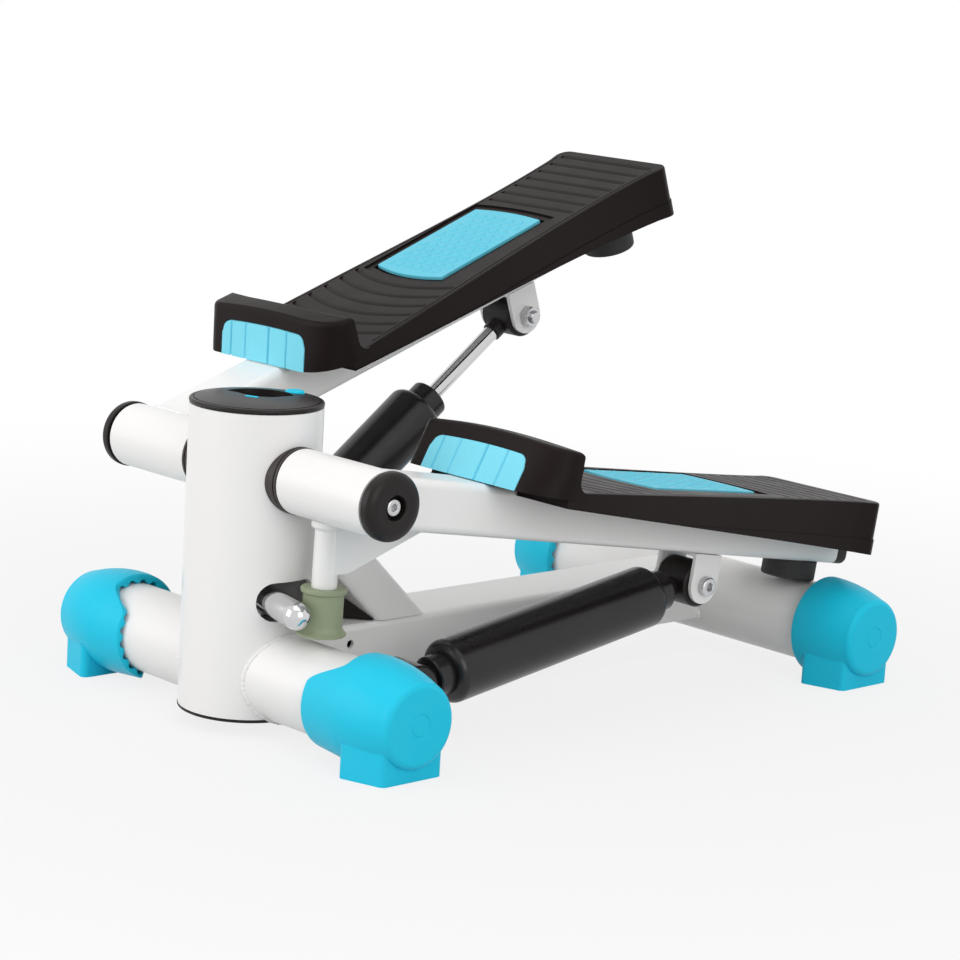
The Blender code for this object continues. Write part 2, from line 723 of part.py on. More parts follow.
def build_pivot(finishes):
    """The shaft through the column, with its spacers, end caps and end bolts."""
    shaft_end = PIVOT_TUBE_OUT + BUSH_FLANGE
    hole_end = shaft_end - 0.020
    tap_r = END_BOLT_R + FIT
    profile = (
        (-hole_end, 0), (-hole_end, tap_r), (-shaft_end, tap_r), (-shaft_end, SHAFT_R),
        (shaft_end, SHAFT_R), (shaft_end, tap_r), (hole_end, tap_r), (hole_end, 0),
    )
    pivot = (0, COLUMN_Y, PIVOT_Z)
    place(as_object("pivot_shaft", turned("X", profile), finishes["steel"]), location=pivot)
    for side_name, side in SIDES.items():
        spacer = pipe("X", side * COLUMN_R / 2, side * (PIVOT_TUBE_IN - GAP), PIVOT_TUBE_R + GAP, SHAFT_R + GAP)
        spacer = as_object(f"{side_name}_pivot_spacer", moved(spacer, pivot), finishes["black"])
        cut(spacer, column_clearance())
        place(spacer)
        place(as_object(f"{side_name}_end_cap", end_cap(side), finishes["black"]), location=pivot)
        head_at = end_cap_face() - CAP_POCKET_DEPTH + GAP
        bolt = socket_bolt(side, head_at, hole_end + GAP)
        place(as_object(f"{side_name}_end_bolt", bolt, finishes["steel"]), location=pivot)


def end_cap_start():
    """Where the end cap's inner face lies, out from the middle of the machine."""
    return PIVOT_TUBE_OUT + 2 * GAP + BUSH_FLANGE + GAP


def end_cap_face():
    """Where the end cap's domed face lies, out from the middle of the machine."""
    return end_cap_start() + END_CAP_RIM + END_CAP_DOME


def end_cap(side):
    """The black cap that holds a pedal arm on its shaft."""
    inner = end_cap_start()
    rim = inner + END_CAP_RIM
    face = end_cap_face()
    steps = (
        (inner, END_BOLT_R + GAP), (inner, END_CAP_R), (rim, END_CAP_R),
        (rim + 0.6 * END_CAP_DOME, END_CAP_R - 0.0020), (face, END_CAP_R - 0.0060),
        (face, CAP_POCKET_R), (face - CAP_POCKET_DEPTH, CAP_POCKET_R), (face - CAP_POCKET_DEPTH, END_BOLT_R + GAP),
    )
    return turned("X", [(side * along, radius) for along, radius in steps], closed=True)


def socket_bolt(side, head_at, shank_end):
    """A bolt along X with a hexagon socket in its round head."""
    top = head_at + END_BOLT_HEAD_HEIGHT
    bottom = top - 0.6 * END_BOLT_HEAD_HEIGHT
    socket_r = END_BOLT_R / 2 + 0.0008
    rings = [circle("X", side * bottom, 0, SMALL)]
    rings += [hexagon("X", side * bottom, socket_r), hexagon("X", side * top, socket_r)]
    rings += [circle("X", side * top, END_BOLT_HEAD_R - 0.0006, SMALL)]
    rings += [circle("X", side * (top - 0.0006), END_BOLT_HEAD_R, SMALL), circle("X", side * head_at, END_BOLT_HEAD_R, SMALL)]
    rings += [circle("X", side * head_at, END_BOLT_R, SMALL), circle("X", side * shank_end, END_BOLT_R, SMALL)]
    rings += [circle("X", side * shank_end, 0, SMALL)]
    return skin(rings)


def eye_bolt(side):
    """A bolt through a pair of ears: socket head outside, hexagon nut inside."""
    head_at = EAR_OUTER + GAP
    top = head_at + BOLT_HEAD_HEIGHT
    bottom = top - 0.6 * BOLT_HEAD_HEIGHT
    socket_r = BOLT_R / 2 + 0.0008
    nut_in = -EAR_OUTER - GAP
    nut_out = nut_in - NUT_HEIGHT
    tip = nut_out - 0.0025
    rings = [circle("X", side * bottom, 0, SMALL)]
    rings += [hexagon("X", side * bottom, socket_r), hexagon("X", side * top, socket_r)]
    rings += [circle("X", side * top, BOLT_HEAD_R - 0.0006, SMALL)]
    rings += [circle("X", side * (top - 0.0006), BOLT_HEAD_R, SMALL), circle("X", side * head_at, BOLT_HEAD_R, SMALL)]
    rings += [circle("X", side * head_at, BOLT_R, SMALL), circle("X", side * nut_in, BOLT_R, SMALL)]
    rings += [hexagon("X", side * nut_in, NUT_R), hexagon("X", side * nut_out, NUT_R)]
    rings += [circle("X", side * nut_out, BOLT_R, SMALL), circle("X", side * tip, BOLT_R, SMALL)]
    rings += [circle("X", side * tip, 0, SMALL)]
    return skin(rings)


def build_rocker(finishes):
    """The rocker bar on its upright pin, which stands on a shelf in the column."""
    shelf_top = ROCKER_Z - ROCKER_HUB_REACH - GAP
    shelf = pipe("Z", shelf_top - SHELF_THICKNESS, shelf_top, COLUMN_BORE_R - GAP, ROCKER_PIN_R + GAP, FINE)
    place(as_object("rocker_shelf", shelf, finishes["steel"]), location=(0, COLUMN_Y, 0))
    nut_top = shelf_top - SHELF_THICKNESS - GAP
    nut_bottom = nut_top - NUT_HEIGHT
    head_bottom = ROCKER_Z + ROCKER_HUB_REACH + GAP
    head_top = head_bottom + BOLT_HEAD_HEIGHT
    pin_r = ROCKER_PIN_R
    head_r = NUT_R + 0.0015
    rings = [circle("Z", nut_bottom - 0.003, 0, SMALL), circle("Z", nut_bottom - 0.003, pin_r, SMALL)]
    rings += [circle("Z", nut_bottom, pin_r, SMALL), hexagon("Z", nut_bottom, head_r)]
    rings += [hexagon("Z", nut_top, head_r), circle("Z", nut_top, pin_r, SMALL)]
    rings += [circle("Z", head_bottom, pin_r, SMALL), hexagon("Z", head_bottom, head_r)]
    rings += [hexagon("Z", head_top, head_r), circle("Z", head_top, 0, SMALL)]
    place(as_object("rocker_pin", skin(rings), finishes["steel"]), location=(0, COLUMN_Y, 0))
    axis = joint("rocker_axis", (0, COLUMN_Y, ROCKER_Z), turn=-ROCKER_HALF_SWING, axis="Z")
    pin_room = ROCKER_PIN_R + FIT
    hub = pipe("Z", -ROCKER_HUB_REACH, ROCKER_HUB_REACH, ROCKER_HUB_R, pin_room, SMALL)
    hub = as_object("rocker_hub", hub, finishes["steel"])
    cut(hub, rod("X", -2 * ROCKER_HUB_R, 2 * ROCKER_HUB_R, ROCKER_BAR_R + GAP))
    place(hub, axis)
    bar = as_object("rocker_bar", domed_bar(), finishes["chrome"])
    cut(bar, rod("Z", -2 * ROCKER_BAR_R, 2 * ROCKER_BAR_R, pin_room, SMALL))
    place(bar, axis)


def domed_bar():
    """A round bar along X with domed ends."""
    steps = 5
    straight = ROCKER_HALF_LENGTH - ROCKER_BAR_R
    dome = []
    for step in range(steps + 1):
        turn = math.pi / 2 * step / steps
        radius = ROCKER_BAR_R * math.sin(turn) if step else 0
        dome.append((straight + ROCKER_BAR_R * math.cos(turn), radius))
    profile = [(-along, radius) for along, radius in dome] + dome[::-1]
    return turned("X", profile)


def build_arm(side_name, side, axis, finishes):
    """The welded steel of one pedal arm: pivot tube, arm tube, post and bracket."""
    bore = PIVOT_TUBE_R - PIVOT_TUBE_WALL
    tube = pipe("X", side * PIVOT_TUBE_IN, side * PIVOT_TUBE_OUT, PIVOT_TUBE_R, bore, FINE)
    place(as_object(f"{side_name}_pivot_tube", tube, finishes["white"]), axis)
    flange_in = PIVOT_TUBE_OUT + GAP
    flange_out = flange_in + BUSH_FLANGE
    steps = (
        (PIVOT_TUBE_IN, SHAFT_R + FIT), (PIVOT_TUBE_IN, bore - GAP), (flange_in, bore - GAP),
        (flange_in, PIVOT_TUBE_R - 0.001), (flange_out, PIVOT_TUBE_R - 0.001), (flange_out, SHAFT_R + FIT),
    )
    bush = turned("X", [(side * along, radius) for along, radius in steps], closed=True)
    place(as_object(f"{side_name}_pivot_bush", bush, finishes["black"]), axis)
    arm = box_pipe(PIVOT_TUBE_R / 3, ARM_END, ARM_WIDTH, ARM_HEIGHT, ARM_WALL, ARM_CORNER)
    arm = as_object(f"{side_name}_arm_tube", moved(arm, (side * ARM_X, 0, 0)), finishes["white"])
    cut(arm, rod("X", -PIVOT_TUBE_OUT, PIVOT_TUBE_OUT, PIVOT_TUBE_R + GAP, FINE))
    place(arm, axis)
    build_post(side_name, side, axis, finishes)
    bracket = as_object(f"{side_name}_arm_bracket", arm_bracket(), finishes["white"])
    web_low = UPPER_PIVOT_DROP - ARM_TOP - GAP - BRACKET_WEB
    hollow = box((-EAR_INNER, -2 * EAR_R, -2 * EAR_R), (EAR_INNER, 2 * EAR_R, web_low))
    cut(bracket, hollow, rod("X", -2 * EAR_OUTER, 2 * EAR_OUTER, BOLT_R + GAP, SMALL))
    upper = (side * ARM_X, UPPER_PIVOT_ALONG, -UPPER_PIVOT_DROP)
    place(bracket, axis, upper)
    place(as_object(f"{side_name}_upper_bolt", eye_bolt(side), finishes["steel"]), axis, upper)


def arm_bracket():
    """The outline of a bracket's ears, drawn across both of them."""
    top = UPPER_PIVOT_DROP - ARM_TOP - GAP
    outline = [(EAR_R, top), (-EAR_R, top)]
    for step in range(13):
        turn = math.pi + math.pi * step / 12
        outline.append((EAR_R * math.cos(turn), EAR_R * math.sin(turn)))
    return prism("X", -EAR_OUTER, EAR_OUTER, outline)


def post_matrix(side):
    """Where the post lies in the arm's frame: z runs down it from the pivot's level."""
    offset = Vector((side * POST_X, POST_OFFSET * math.cos(POST_TILT), POST_OFFSET * math.sin(POST_TILT)))
    return Matrix.Translation(offset) @ Matrix.Rotation(math.pi + POST_TILT, 4, "X")


def build_post(side_name, side, axis, finishes):
    """The post that hangs from the pivot tube, its gusset and its slip-on sleeve."""
    profile = (
        (0.010, 0), (0.010, POST_COLLAR_R), (PIVOT_TUBE_R + 0.003, POST_COLLAR_R), (PIVOT_TUBE_R + 0.005, POST_R),
        (POST_LENGTH - 0.0015, POST_R), (POST_LENGTH, POST_R - 0.0015), (POST_LENGTH, 0),
    )
    post = turned("Z", profile, SMALL)
    bmesh.ops.transform(post, matrix=post_matrix(side), verts=post.verts)
    post = as_object(f"{side_name}_post", post, finishes["white"])
    join(post, gusset(side))
    cut(post, rod("X", -PIVOT_TUBE_OUT, PIVOT_TUBE_OUT, PIVOT_TUBE_R + GAP, FINE))
    place(post, axis)
    bore = POST_R + GAP
    waist_start = SLEEVE_START + SLEEVE_FLANGE
    steps = (
        (SLEEVE_START, bore), (SLEEVE_START, SLEEVE_R), (SLEEVE_START + SLEEVE_FLANGE / 3, SLEEVE_TOP_R),
        (waist_start - SLEEVE_FLANGE / 3, SLEEVE_TOP_R), (waist_start, SLEEVE_R),
        (SLEEVE_END - SLEEVE_FLARE, SLEEVE_R), (SLEEVE_END - SLEEVE_FLARE / 4, SLEEVE_FOOT_R),
        (SLEEVE_END, SLEEVE_FOOT_R - SLEEVE_FLANGE / 6), (SLEEVE_END, bore),
    )
    sleeve = turned("Z", steps, MEDIUM, closed=True)
    bmesh.ops.transform(sleeve, matrix=post_matrix(side), verts=sleeve.verts)
    place(as_object(f"{side_name}_post_sleeve", sleeve, finishes["khaki"]), axis)


def gusset(side):
    """The plate that stiffens the post against the underside of the arm."""
    inner = side * (ARM_X - ARM_WIDTH / 2 - GUSSET_THICKNESS / 3)
    outer = inner + side * GUSSET_THICKNESS
    top = -ARM_TOP - GAP
    foot = POST_OFFSET + GUSSET_DROP * math.tan(POST_TILT)
    outline = (
        (foot / 2, top), (GUSSET_REACH, top), (GUSSET_REACH, top - 0.003),
        (foot + POST_R + 0.004, -GUSSET_DROP), (foot, -GUSSET_DROP - 0.002),
    )
    return prism("X", inner, outer, outline)


def build_arm_trim(side_name, side, axis, finishes):
    """The plug in the arm's end and the bumper that lands on the rear tube."""
    plug_start = ARM_END + GAP
    plug_end = plug_start + PLUG_LENGTH
    spigot = (ARM_WIDTH - 2 * ARM_WALL - 2 * GAP, ARM_HEIGHT - 2 * ARM_WALL - 2 * GAP, ARM_CORNER - ARM_WALL / 2)
    face = (ARM_WIDTH, ARM_HEIGHT, ARM_CORNER)
    tip = (ARM_WIDTH - 0.006, ARM_HEIGHT - 0.006, ARM_CORNER - 0.002)
    rings = []
    for along, size in (
        (ARM_END - PLUG_SPIGOT, spigot), (plug_start, spigot), (plug_start, face),
        (plug_end - 0.004, face), (plug_end, tip),
    ):
        rings.append([on_axis("Y", along, *point) for point in rounded_rectangle(*size)])
    centre = (side * ARM_X, 0, 0)
    place(as_object(f"{side_name}_arm_end_plug", skin(rings), finishes["black"]), axis, centre)
    top = -ARM_TOP - GAP
    bottom = top - BUMPER_HEIGHT
    profile = ((top, 0), (top, BUMPER_R), (bottom + 0.0015, BUMPER_R), (bottom, BUMPER_R - 0.0015), (bottom, 0))
    bumper = as_object(f"{side_name}_bumper", turned("Z", profile, MEDIUM), finishes["black"])
    place(bumper, axis, (side * ARM_X, BUMPER_AT, 0))


def share_along(along):
    """How far a place lies along the footplate, from 0 at the toe to 1 at the heel."""
    return (along - PLATE_FRONT) / (PLATE_REAR - PLATE_FRONT)


def plate_top(along):
    """Height of the tread above the arm's axis."""
    return PLATE_TOP_FRONT + (PLATE_TOP_REAR - PLATE_TOP_FRONT) * share_along(along)


def plate_rim(along):
    """Height of the skirt's lower edge above the arm's axis."""
    return PLATE_RIM_FRONT + (PLATE_RIM_REAR - PLATE_RIM_FRONT) * share_along(along)


def half_width(along):
    """Half the footplate's width. It has a slight waist towards the heel."""
    share = share_along(along)
    waist = 4 * share ** 2 * (1 - share ** 2)
    return PLATE_HALF_FRONT + (PLATE_HALF_REAR - PLATE_HALF_FRONT) * share - PLATE_WAIST * waist


def plate_outline(inset):
    """The footplate in plan, without its toe stop."""
    front = TOE_BACK_MIDDLE - TOE_OVERLAP + inset
    rear = PLATE_REAR - inset
    corner = PLATE_REAR_CORNER - inset
    heel = half_width(PLATE_REAR) - inset
    steps = 8
    side = []
    for step in range(steps):
        along = front + (rear - corner - front) * step / steps
        side.append((half_width(along) - inset, along))
    outline = side + arc_points((heel - corner, rear - corner), corner, 0, 90, 4)
    outline += arc_points((-heel + corner, rear - corner), corner, 90, 180, 4)
    outline += [(-across, along) for across, along in reversed(side)]
    return [(across + PLATE_SHIFT, along) for across, along in outline]


def toe_front(across):
    """Where the front face of the toe stop lies, across the footplate."""
    half = half_width(TOE_BACK_MIDDLE - TOE_OVERLAP)
    round_start = PLATE_SHIFT + half - TOE_ROUND_CORNER
    sharp_start = PLATE_SHIFT - half + TOE_SHARP_CORNER
    if across > round_start:
        bend = min(across - round_start, TOE_ROUND_CORNER)
        return PLATE_FRONT + TOE_ROUND_CORNER - math.sqrt(TOE_ROUND_CORNER ** 2 - bend ** 2)
    if across < sharp_start:
        bend = min(sharp_start - across, TOE_SHARP_CORNER)
        return PLATE_FRONT + TOE_SHARP_CORNER - math.sqrt(TOE_SHARP_CORNER ** 2 - bend ** 2)
    return PLATE_FRONT


def toe_outline(inset, back_shift):
    """The toe stop in plan: straight front, one wide corner and a hollow back."""
    half = half_width(TOE_BACK_MIDDLE - TOE_OVERLAP) - inset
    front = PLATE_FRONT + inset
    sharp = TOE_SHARP_CORNER - inset
    wide = TOE_ROUND_CORNER - inset
    back_side = TOE_BACK_SIDE + back_shift - inset
    back_middle = TOE_BACK_MIDDLE + back_shift - inset
    outline = arc_points((-half + sharp, front + sharp), sharp, 180, 270, 4)
    straight = 2 * half - sharp - wide
    outline += [(-half + sharp + straight * step / 8, front) for step in range(1, 8)]
    outline += arc_points((half - wide, front + wide), wide, 270, 360, 8)
    steps = 10
    for step in range(steps + 1):
        across = half * (1 - 2 * step / steps)
        outline.append((across, back_middle + (back_side - back_middle) * (across / half) ** 2))
    return [(across + PLATE_SHIFT, along) for across, along in outline]


def crown(across):
    """How far the toe stop's top falls away from its middle."""
    return TOE_CROWN * ((across - PLATE_SHIFT) / half_width(TOE_BACK_MIDDLE - TOE_OVERLAP)) ** 2


def lean(level):
    """How far the front of the toe stop leans back at a height."""
    return TOE_LEAN * (level - ARM_TOP) / (TOE_TOP - ARM_TOP)


def toe_ring(inset, back_shift, level):
    """The toe stop's outline at a height, with its front leaning back."""
    depth = TOE_BACK_MIDDLE - PLATE_FRONT
    tread = plate_top(TOE_BACK_SIDE)
    drop = max(0.0, (level - tread) / (TOE_TOP - tread))
    ring = []
    for across, along in toe_outline(inset, back_shift):
        share = max(0.0, 1 - (along - PLATE_FRONT) / depth)
        ring.append(Vector((across, along + lean(level) * share, level - crown(across) * drop)))
    return ring


def toe_stop():
    """The raised toe stop, with a fillet where its hollow back meets the tread."""
    tread = plate_top(TOE_BACK_SIDE)
    solid = skin([
        toe_ring(0, TOE_FILLET, ARM_TOP + 2 * GAP),
        toe_ring(0, TOE_FILLET, tread),
        toe_ring(0, 0.3 * TOE_FILLET, tread + 0.3 * TOE_FILLET),
        toe_ring(0, 0, tread + TOE_FILLET),
        toe_ring(0, 0, TOE_TOP - PLATE_EDGE),
        toe_ring(PLATE_EDGE, 0, TOE_TOP),
    ])
    bmesh.ops.triangulate(solid, faces=solid.faces)
    return solid


def toe_panel(front_shift, thickness, grow, drop, grooved):
    """The panel on the toe stop's front, or the room for it, as slices across."""
    stops = [TOE_PANEL_LEFT - grow, TOE_PANEL_RIGHT + grow]
    span = stops[1] - stops[0]
    places = {stops[0]: 0.0, stops[1]: 0.0}
    for step in range(1, 20):
        places[stops[0] + span * step / 20] = 0.0
    if grooved:
        for share in TOE_PANEL_GROOVES:
            middle = TOE_PANEL_LEFT + share * span
            for off, depth in ((-0.0008, 0.0), (-0.0005, 0.001), (0.0005, 0.001), (0.0008, 0.0)):
                places[middle + off] = depth
    rings = []
    for across in sorted(places):
        from_end = min(across - stops[0], stops[1] - across)
        corner = max(0.0, TOE_PANEL_CORNER - from_end)
        round_off = TOE_PANEL_CORNER - math.sqrt(TOE_PANEL_CORNER ** 2 - corner ** 2)
        low = ARM_TOP + 2 * GAP - drop
        high = TOE_PANEL_TOP + grow - round_off - crown(across)
        face = toe_front(across) + front_shift + places[across]
        back = toe_front(across) + thickness
        rings.append([
            Vector((across, face + lean(low), low)), Vector((across, face + lean(high), high)),
            Vector((across, back + lean(high), high)), Vector((across, back + lean(low), low)),
        ])
    return skin(rings)


def tread_outline(grow):
    """The tread pad in plan: straight sides and bowed ends."""
    half = TREAD_WIDTH / 2 + grow
    reach = TREAD_LENGTH / 2 + grow
    steps = 8
    outline = []
    for end, bow in ((-1, TREAD_FRONT_BOW), (1, TREAD_REAR_BOW)):
        for step in range(steps + 1):
            across = half * (2 * step / steps - 1) * -end
            fall = bow * (across / half) ** 2
            outline.append((across + TREAD_SHIFT, TREAD_MIDDLE + end * (reach - fall)))
    return outline


def tread_slab(grow, low, high):
    """A slab in the tread's own slope, between two depths from its surface."""
    rings = []
    for depth in (low, high):
        rings.append([Vector((across, along, plate_top(along) + depth)) for across, along in tread_outline(grow)])
    return skin(rings)


def groove(middle_along, bow, steps):
    """One anti-slip groove across the tread."""
    half = half_width(middle_along) - RIB_EDGE
    rings = []
    for step in range(steps + 1):
        across = half * (2 * step / steps - 1)
        along = middle_along + bow * (across / half) ** 2
        low = plate_top(along) - RIB_DEPTH
        ring = []
        for off, level in ((-0.5, low), (0.5, low), (0.5, low + 2 * RIB_DEPTH), (-0.5, low + 2 * RIB_DEPTH)):
            ring.append(Vector((across + PLATE_SHIFT, along + off * RIB_WIDTH, level)))
        rings.append(ring)
    return skin(rings)


def groove_places():
    """Each groove's place along the tread, its bow and its number of steps."""
    places = []
    front_start = TOE_BACK_SIDE + TOE_FILLET + RIB_MARGIN
    front_end = TREAD_MIDDLE - TREAD_LENGTH / 2 - TREAD_BORDER - RIB_MARGIN
    for index in range(FRONT_RIBS):
        share = index / (FRONT_RIBS - 1)
        places.append((front_start + (front_end - front_start) * share, RIB_BOW, 4))
    rear_start = TREAD_MIDDLE + TREAD_LENGTH / 2 + TREAD_BORDER + RIB_MARGIN
    rear_end = PLATE_REAR - 2 * RIB_MARGIN
    for index in range(REAR_RIBS):
        share = index / (REAR_RIBS - 1)
        places.append((rear_start + (rear_end - rear_start) * share, 0.0, 1))
    return places


def under_pockets():
    """The rooms under the tread, which leave webs across the footplate."""
    start = TOE_BACK_SIDE + TOE_FILLET
    end = PLATE_REAR - PLATE_WALL
    pitch = (end - start + PLATE_WALL) / (WEB_COUNT + 1)
    rooms = []
    for index in range(WEB_COUNT + 1):
        near = start + pitch * index
        far = near + pitch - PLATE_WALL
        rings = []
        for level in (None, -PLATE_SKIN):
            ring = []
            for side, along in ((-1, near), (1, near), (1, far), (-1, far)):
                across = side * (half_width(along) - PLATE_WALL)
                height = PLATE_RIM_REAR - PLATE_SKIN if level is None else plate_top(along) + level
                ring.append(Vector((across + PLATE_SHIFT, along, height)))
            rings.append(ring)
        rooms.append(skin(rings))
    return rooms


def build_footplate(name, finish):
    """The one-piece moulding: ribbed tread, skirt, webs and toe stop."""
    rings = []
    for inset, level in ((0, None), (0, -PLATE_EDGE), (PLATE_EDGE, 0.0)):
        ring = []
        for across, along in plate_outline(inset + GAP):
            height = plate_rim(along) if level is None else plate_top(along) + level
            ring.append(Vector((across, along, height)))
        rings.append(ring)
    plate = as_object(name, skin(rings), finish)
    join(plate, toe_stop())
    room = toe_panel(-2 * TOE_PANEL_THICKNESS, TOE_PANEL_THICKNESS + GAP, GAP, 2 * GAP, False)
    arm_half = ARM_WIDTH / 2 + GAP
    arm_room = box((-arm_half, 0, -ARM_HEIGHT), (arm_half, PLATE_REAR + PLATE_WALL, ARM_TOP + GAP))
    cut(plate, room, *under_pockets(), arm_room)
    cut(plate, tread_slab(TREAD_BORDER, -TREAD_BORDER_DEPTH, PLATE_SKIN))
    cut(plate, tread_slab(GAP, -TREAD_THICKNESS - GAP, PLATE_SKIN))
    cut(plate, *[groove(*spot) for spot in groove_places()])
    return plate


def build_pedals(axes, finishes):
    """A footplate, a tread pad and a toe panel on each arm: one moulding for both."""
    plate = build_footplate("left_footplate", finishes["black_brown"])
    pad = as_object("left_tread_pad", tread_slab(0, -TREAD_THICKNESS, 0.0002), finishes["cyan"])
    panel = toe_panel(-TOE_PANEL_PROUD, TOE_PANEL_THICKNESS, 0, 0, True)
    panel = as_object("left_toe_panel", panel, finishes["cyan"])
    for piece, label in ((plate, "footplate"), (pad, "tread_pad"), (panel, "toe_panel")):
        twin = shared(piece, f"right_{label}")
        place(piece, axes["left"], (ARM_X, 0, 0))
        place(twin, axes["right"], (-ARM_X, 0, 0))


def lower_lug(side):
    """The black bracket behind the front tube that carries a damper's lower eye."""
    outline = [(-DAMPER_REACH, EAR_R + 0.004), (-DAMPER_REACH, -EAR_R - 0.004)]
    outline += [(0.0, -EAR_R)]
    for step in range(1, 12):
        turn = -math.pi / 2 + math.pi * step / 12
        outline.append((EAR_R * math.cos(turn), EAR_R * math.sin(turn)))
    outline += [(0.0, EAR_R)]
    return prism("X", -EAR_OUTER, EAR_OUTER, outline)


def build_lugs(finishes):
    """The lower brackets, shaped to the front tube, and their bolts."""
    for side_name, side in SIDES.items():
        lug = as_object(f"{side_name}_damper_lug", lower_lug(side), finishes["black"])
        tube_room = moved(rod("X", -2 * EAR_OUTER, 2 * EAR_OUTER, TUBE_R + GAP, FINE), (0, -DAMPER_REACH, 0))
        reach = 2 * EYE_R
        eye_outline = arc_points((0, 0), EYE_R + 2 * GAP, 90, 270, SMALL)
        eye_outline += [(reach, -EYE_R - 2 * GAP), (reach, EYE_R + 2 * GAP)]
        eye_room = prism("X", -EAR_INNER, EAR_INNER, eye_outline)
        cut(lug, tube_room, eye_room, rod("X", -reach, reach, BOLT_R + GAP, SMALL))
        spot = (side * ARM_X, COLUMN_Y + DAMPER_REACH, TUBE_AXIS_Z)
        place(lug, location=spot)
        place(as_object(f"{side_name}_lower_bolt", eye_bolt(side), finishes["steel"]), location=spot)


def damper_line(arm_angle):
    """Length and slope of a damper with its arm at an angle."""
    across = UPPER_PIVOT_ALONG * math.cos(arm_angle) + UPPER_PIVOT_DROP * math.sin(arm_angle)
    up = UPPER_PIVOT_ALONG * math.sin(arm_angle) - UPPER_PIVOT_DROP * math.cos(arm_angle)
    run = across - DAMPER_REACH
    rise = PIVOT_Z + up - TUBE_AXIS_Z
    return math.hypot(run, rise), math.atan2(rise, run)


def cylinder_solid():
    """The damper's body along Y: eye end, shoulders, neck and the rod's room."""
    neck_end = CYLINDER_END + CYLINDER_NECK
    bore_start = CYLINDER_START + 0.012
    bore_end = CYLINDER_END - 0.006
    bore_r = CYLINDER_R - CYLINDER_WALL
    shoulder = CYLINDER_SHOULDER
    profile = [(bore_start, 0), (bore_start, bore_r), (bore_end, bore_r), (bore_end, ROD_R + FIT)]
    profile += [(neck_end, ROD_R + FIT), (neck_end, CYLINDER_NECK_R - 0.0015)]
    profile += [(neck_end - 0.0015, CYLINDER_NECK_R), (CYLINDER_END, CYLINDER_NECK_R)]
    end_centre = (CYLINDER_END - shoulder, CYLINDER_R - shoulder)
    start_centre = (CYLINDER_START + shoulder, CYLINDER_R - shoulder)
    profile += arc_points(end_centre, shoulder, 0, 90, 3)[1:]
    profile += arc_points(start_centre, shoulder, 90, 180, 3)
    collar_start = CYLINDER_START - CYLINDER_COLLAR
    profile += [(collar_start + 0.001, CYLINDER_NECK_R), (collar_start, CYLINDER_NECK_R - 0.001)]
    profile += [(collar_start, EYE_R / 2), (EYE_R / 2, EYE_R / 2), (EYE_R / 2, 0)]
    return turned("Y", profile)


def build_dampers(axes, finishes):
    """Both dampers: a body on the lower eye, and a rod with its upper bush."""
    rest_length = damper_line(LOW_ANGLE)[0]
    cylinder = as_object("left_damper_cylinder", cylinder_solid(), finishes["black"])
    join(cylinder, rod("X", -EYE_HALF_WIDTH, EYE_HALF_WIDTH, EYE_R))
    cut(cylinder, rod("X", -2 * EYE_HALF_WIDTH, 2 * EYE_HALF_WIDTH, BOLT_R + FIT, SMALL))
    piston_r = CYLINDER_R - CYLINDER_WALL - GAP
    piston = PISTON_AT - rest_length
    profile = (
        (piston, 0), (piston, piston_r), (piston + PISTON_LENGTH, piston_r), (piston + PISTON_LENGTH, ROD_R),
        (-ROD_SHANK - GAP, ROD_R), (-ROD_SHANK - GAP, 0),
    )
    shaft = as_object("left_damper_rod", turned("Y", profile, SMALL), finishes["chrome"])
    bush = rod("X", -EYE_HALF_WIDTH, EYE_HALF_WIDTH, UPPER_BUSH_R)
    eye = as_object("left_rod_bush", bush, finishes["black"])
    join(eye, rod("Y", -ROD_SHANK, -UPPER_BUSH_R / 2, ROD_SHANK_R, SMALL))
    cut(eye, rod("X", -2 * EYE_HALF_WIDTH, 2 * EYE_HALF_WIDTH, BOLT_R + OPEN_PIVOT_PLAY, SMALL))
    twins = {
        "left": (cylinder, shaft, eye),
        "right": (
            shared(cylinder, "right_damper_cylinder"), shared(shaft, "right_damper_rod"), shared(eye, "right_rod_bush"),
        ),
    }
    for side_name, angle in (("left", LOW_ANGLE), ("right", HIGH_ANGLE)):
        length, slope = damper_line(angle)
        lower = (SIDES[side_name] * ARM_X, COLUMN_Y + DAMPER_REACH, TUBE_AXIS_Z)
        body_axis = joint(f"{side_name}_cylinder_axis", lower, turn=slope)
        rod_axis = joint(f"{side_name}_rod_axis", (0, length, 0), body_axis)
        body, stem, bush = twins[side_name]
        place(body, body_axis)
        place(stem, rod_axis)
        place(bush, rod_axis)


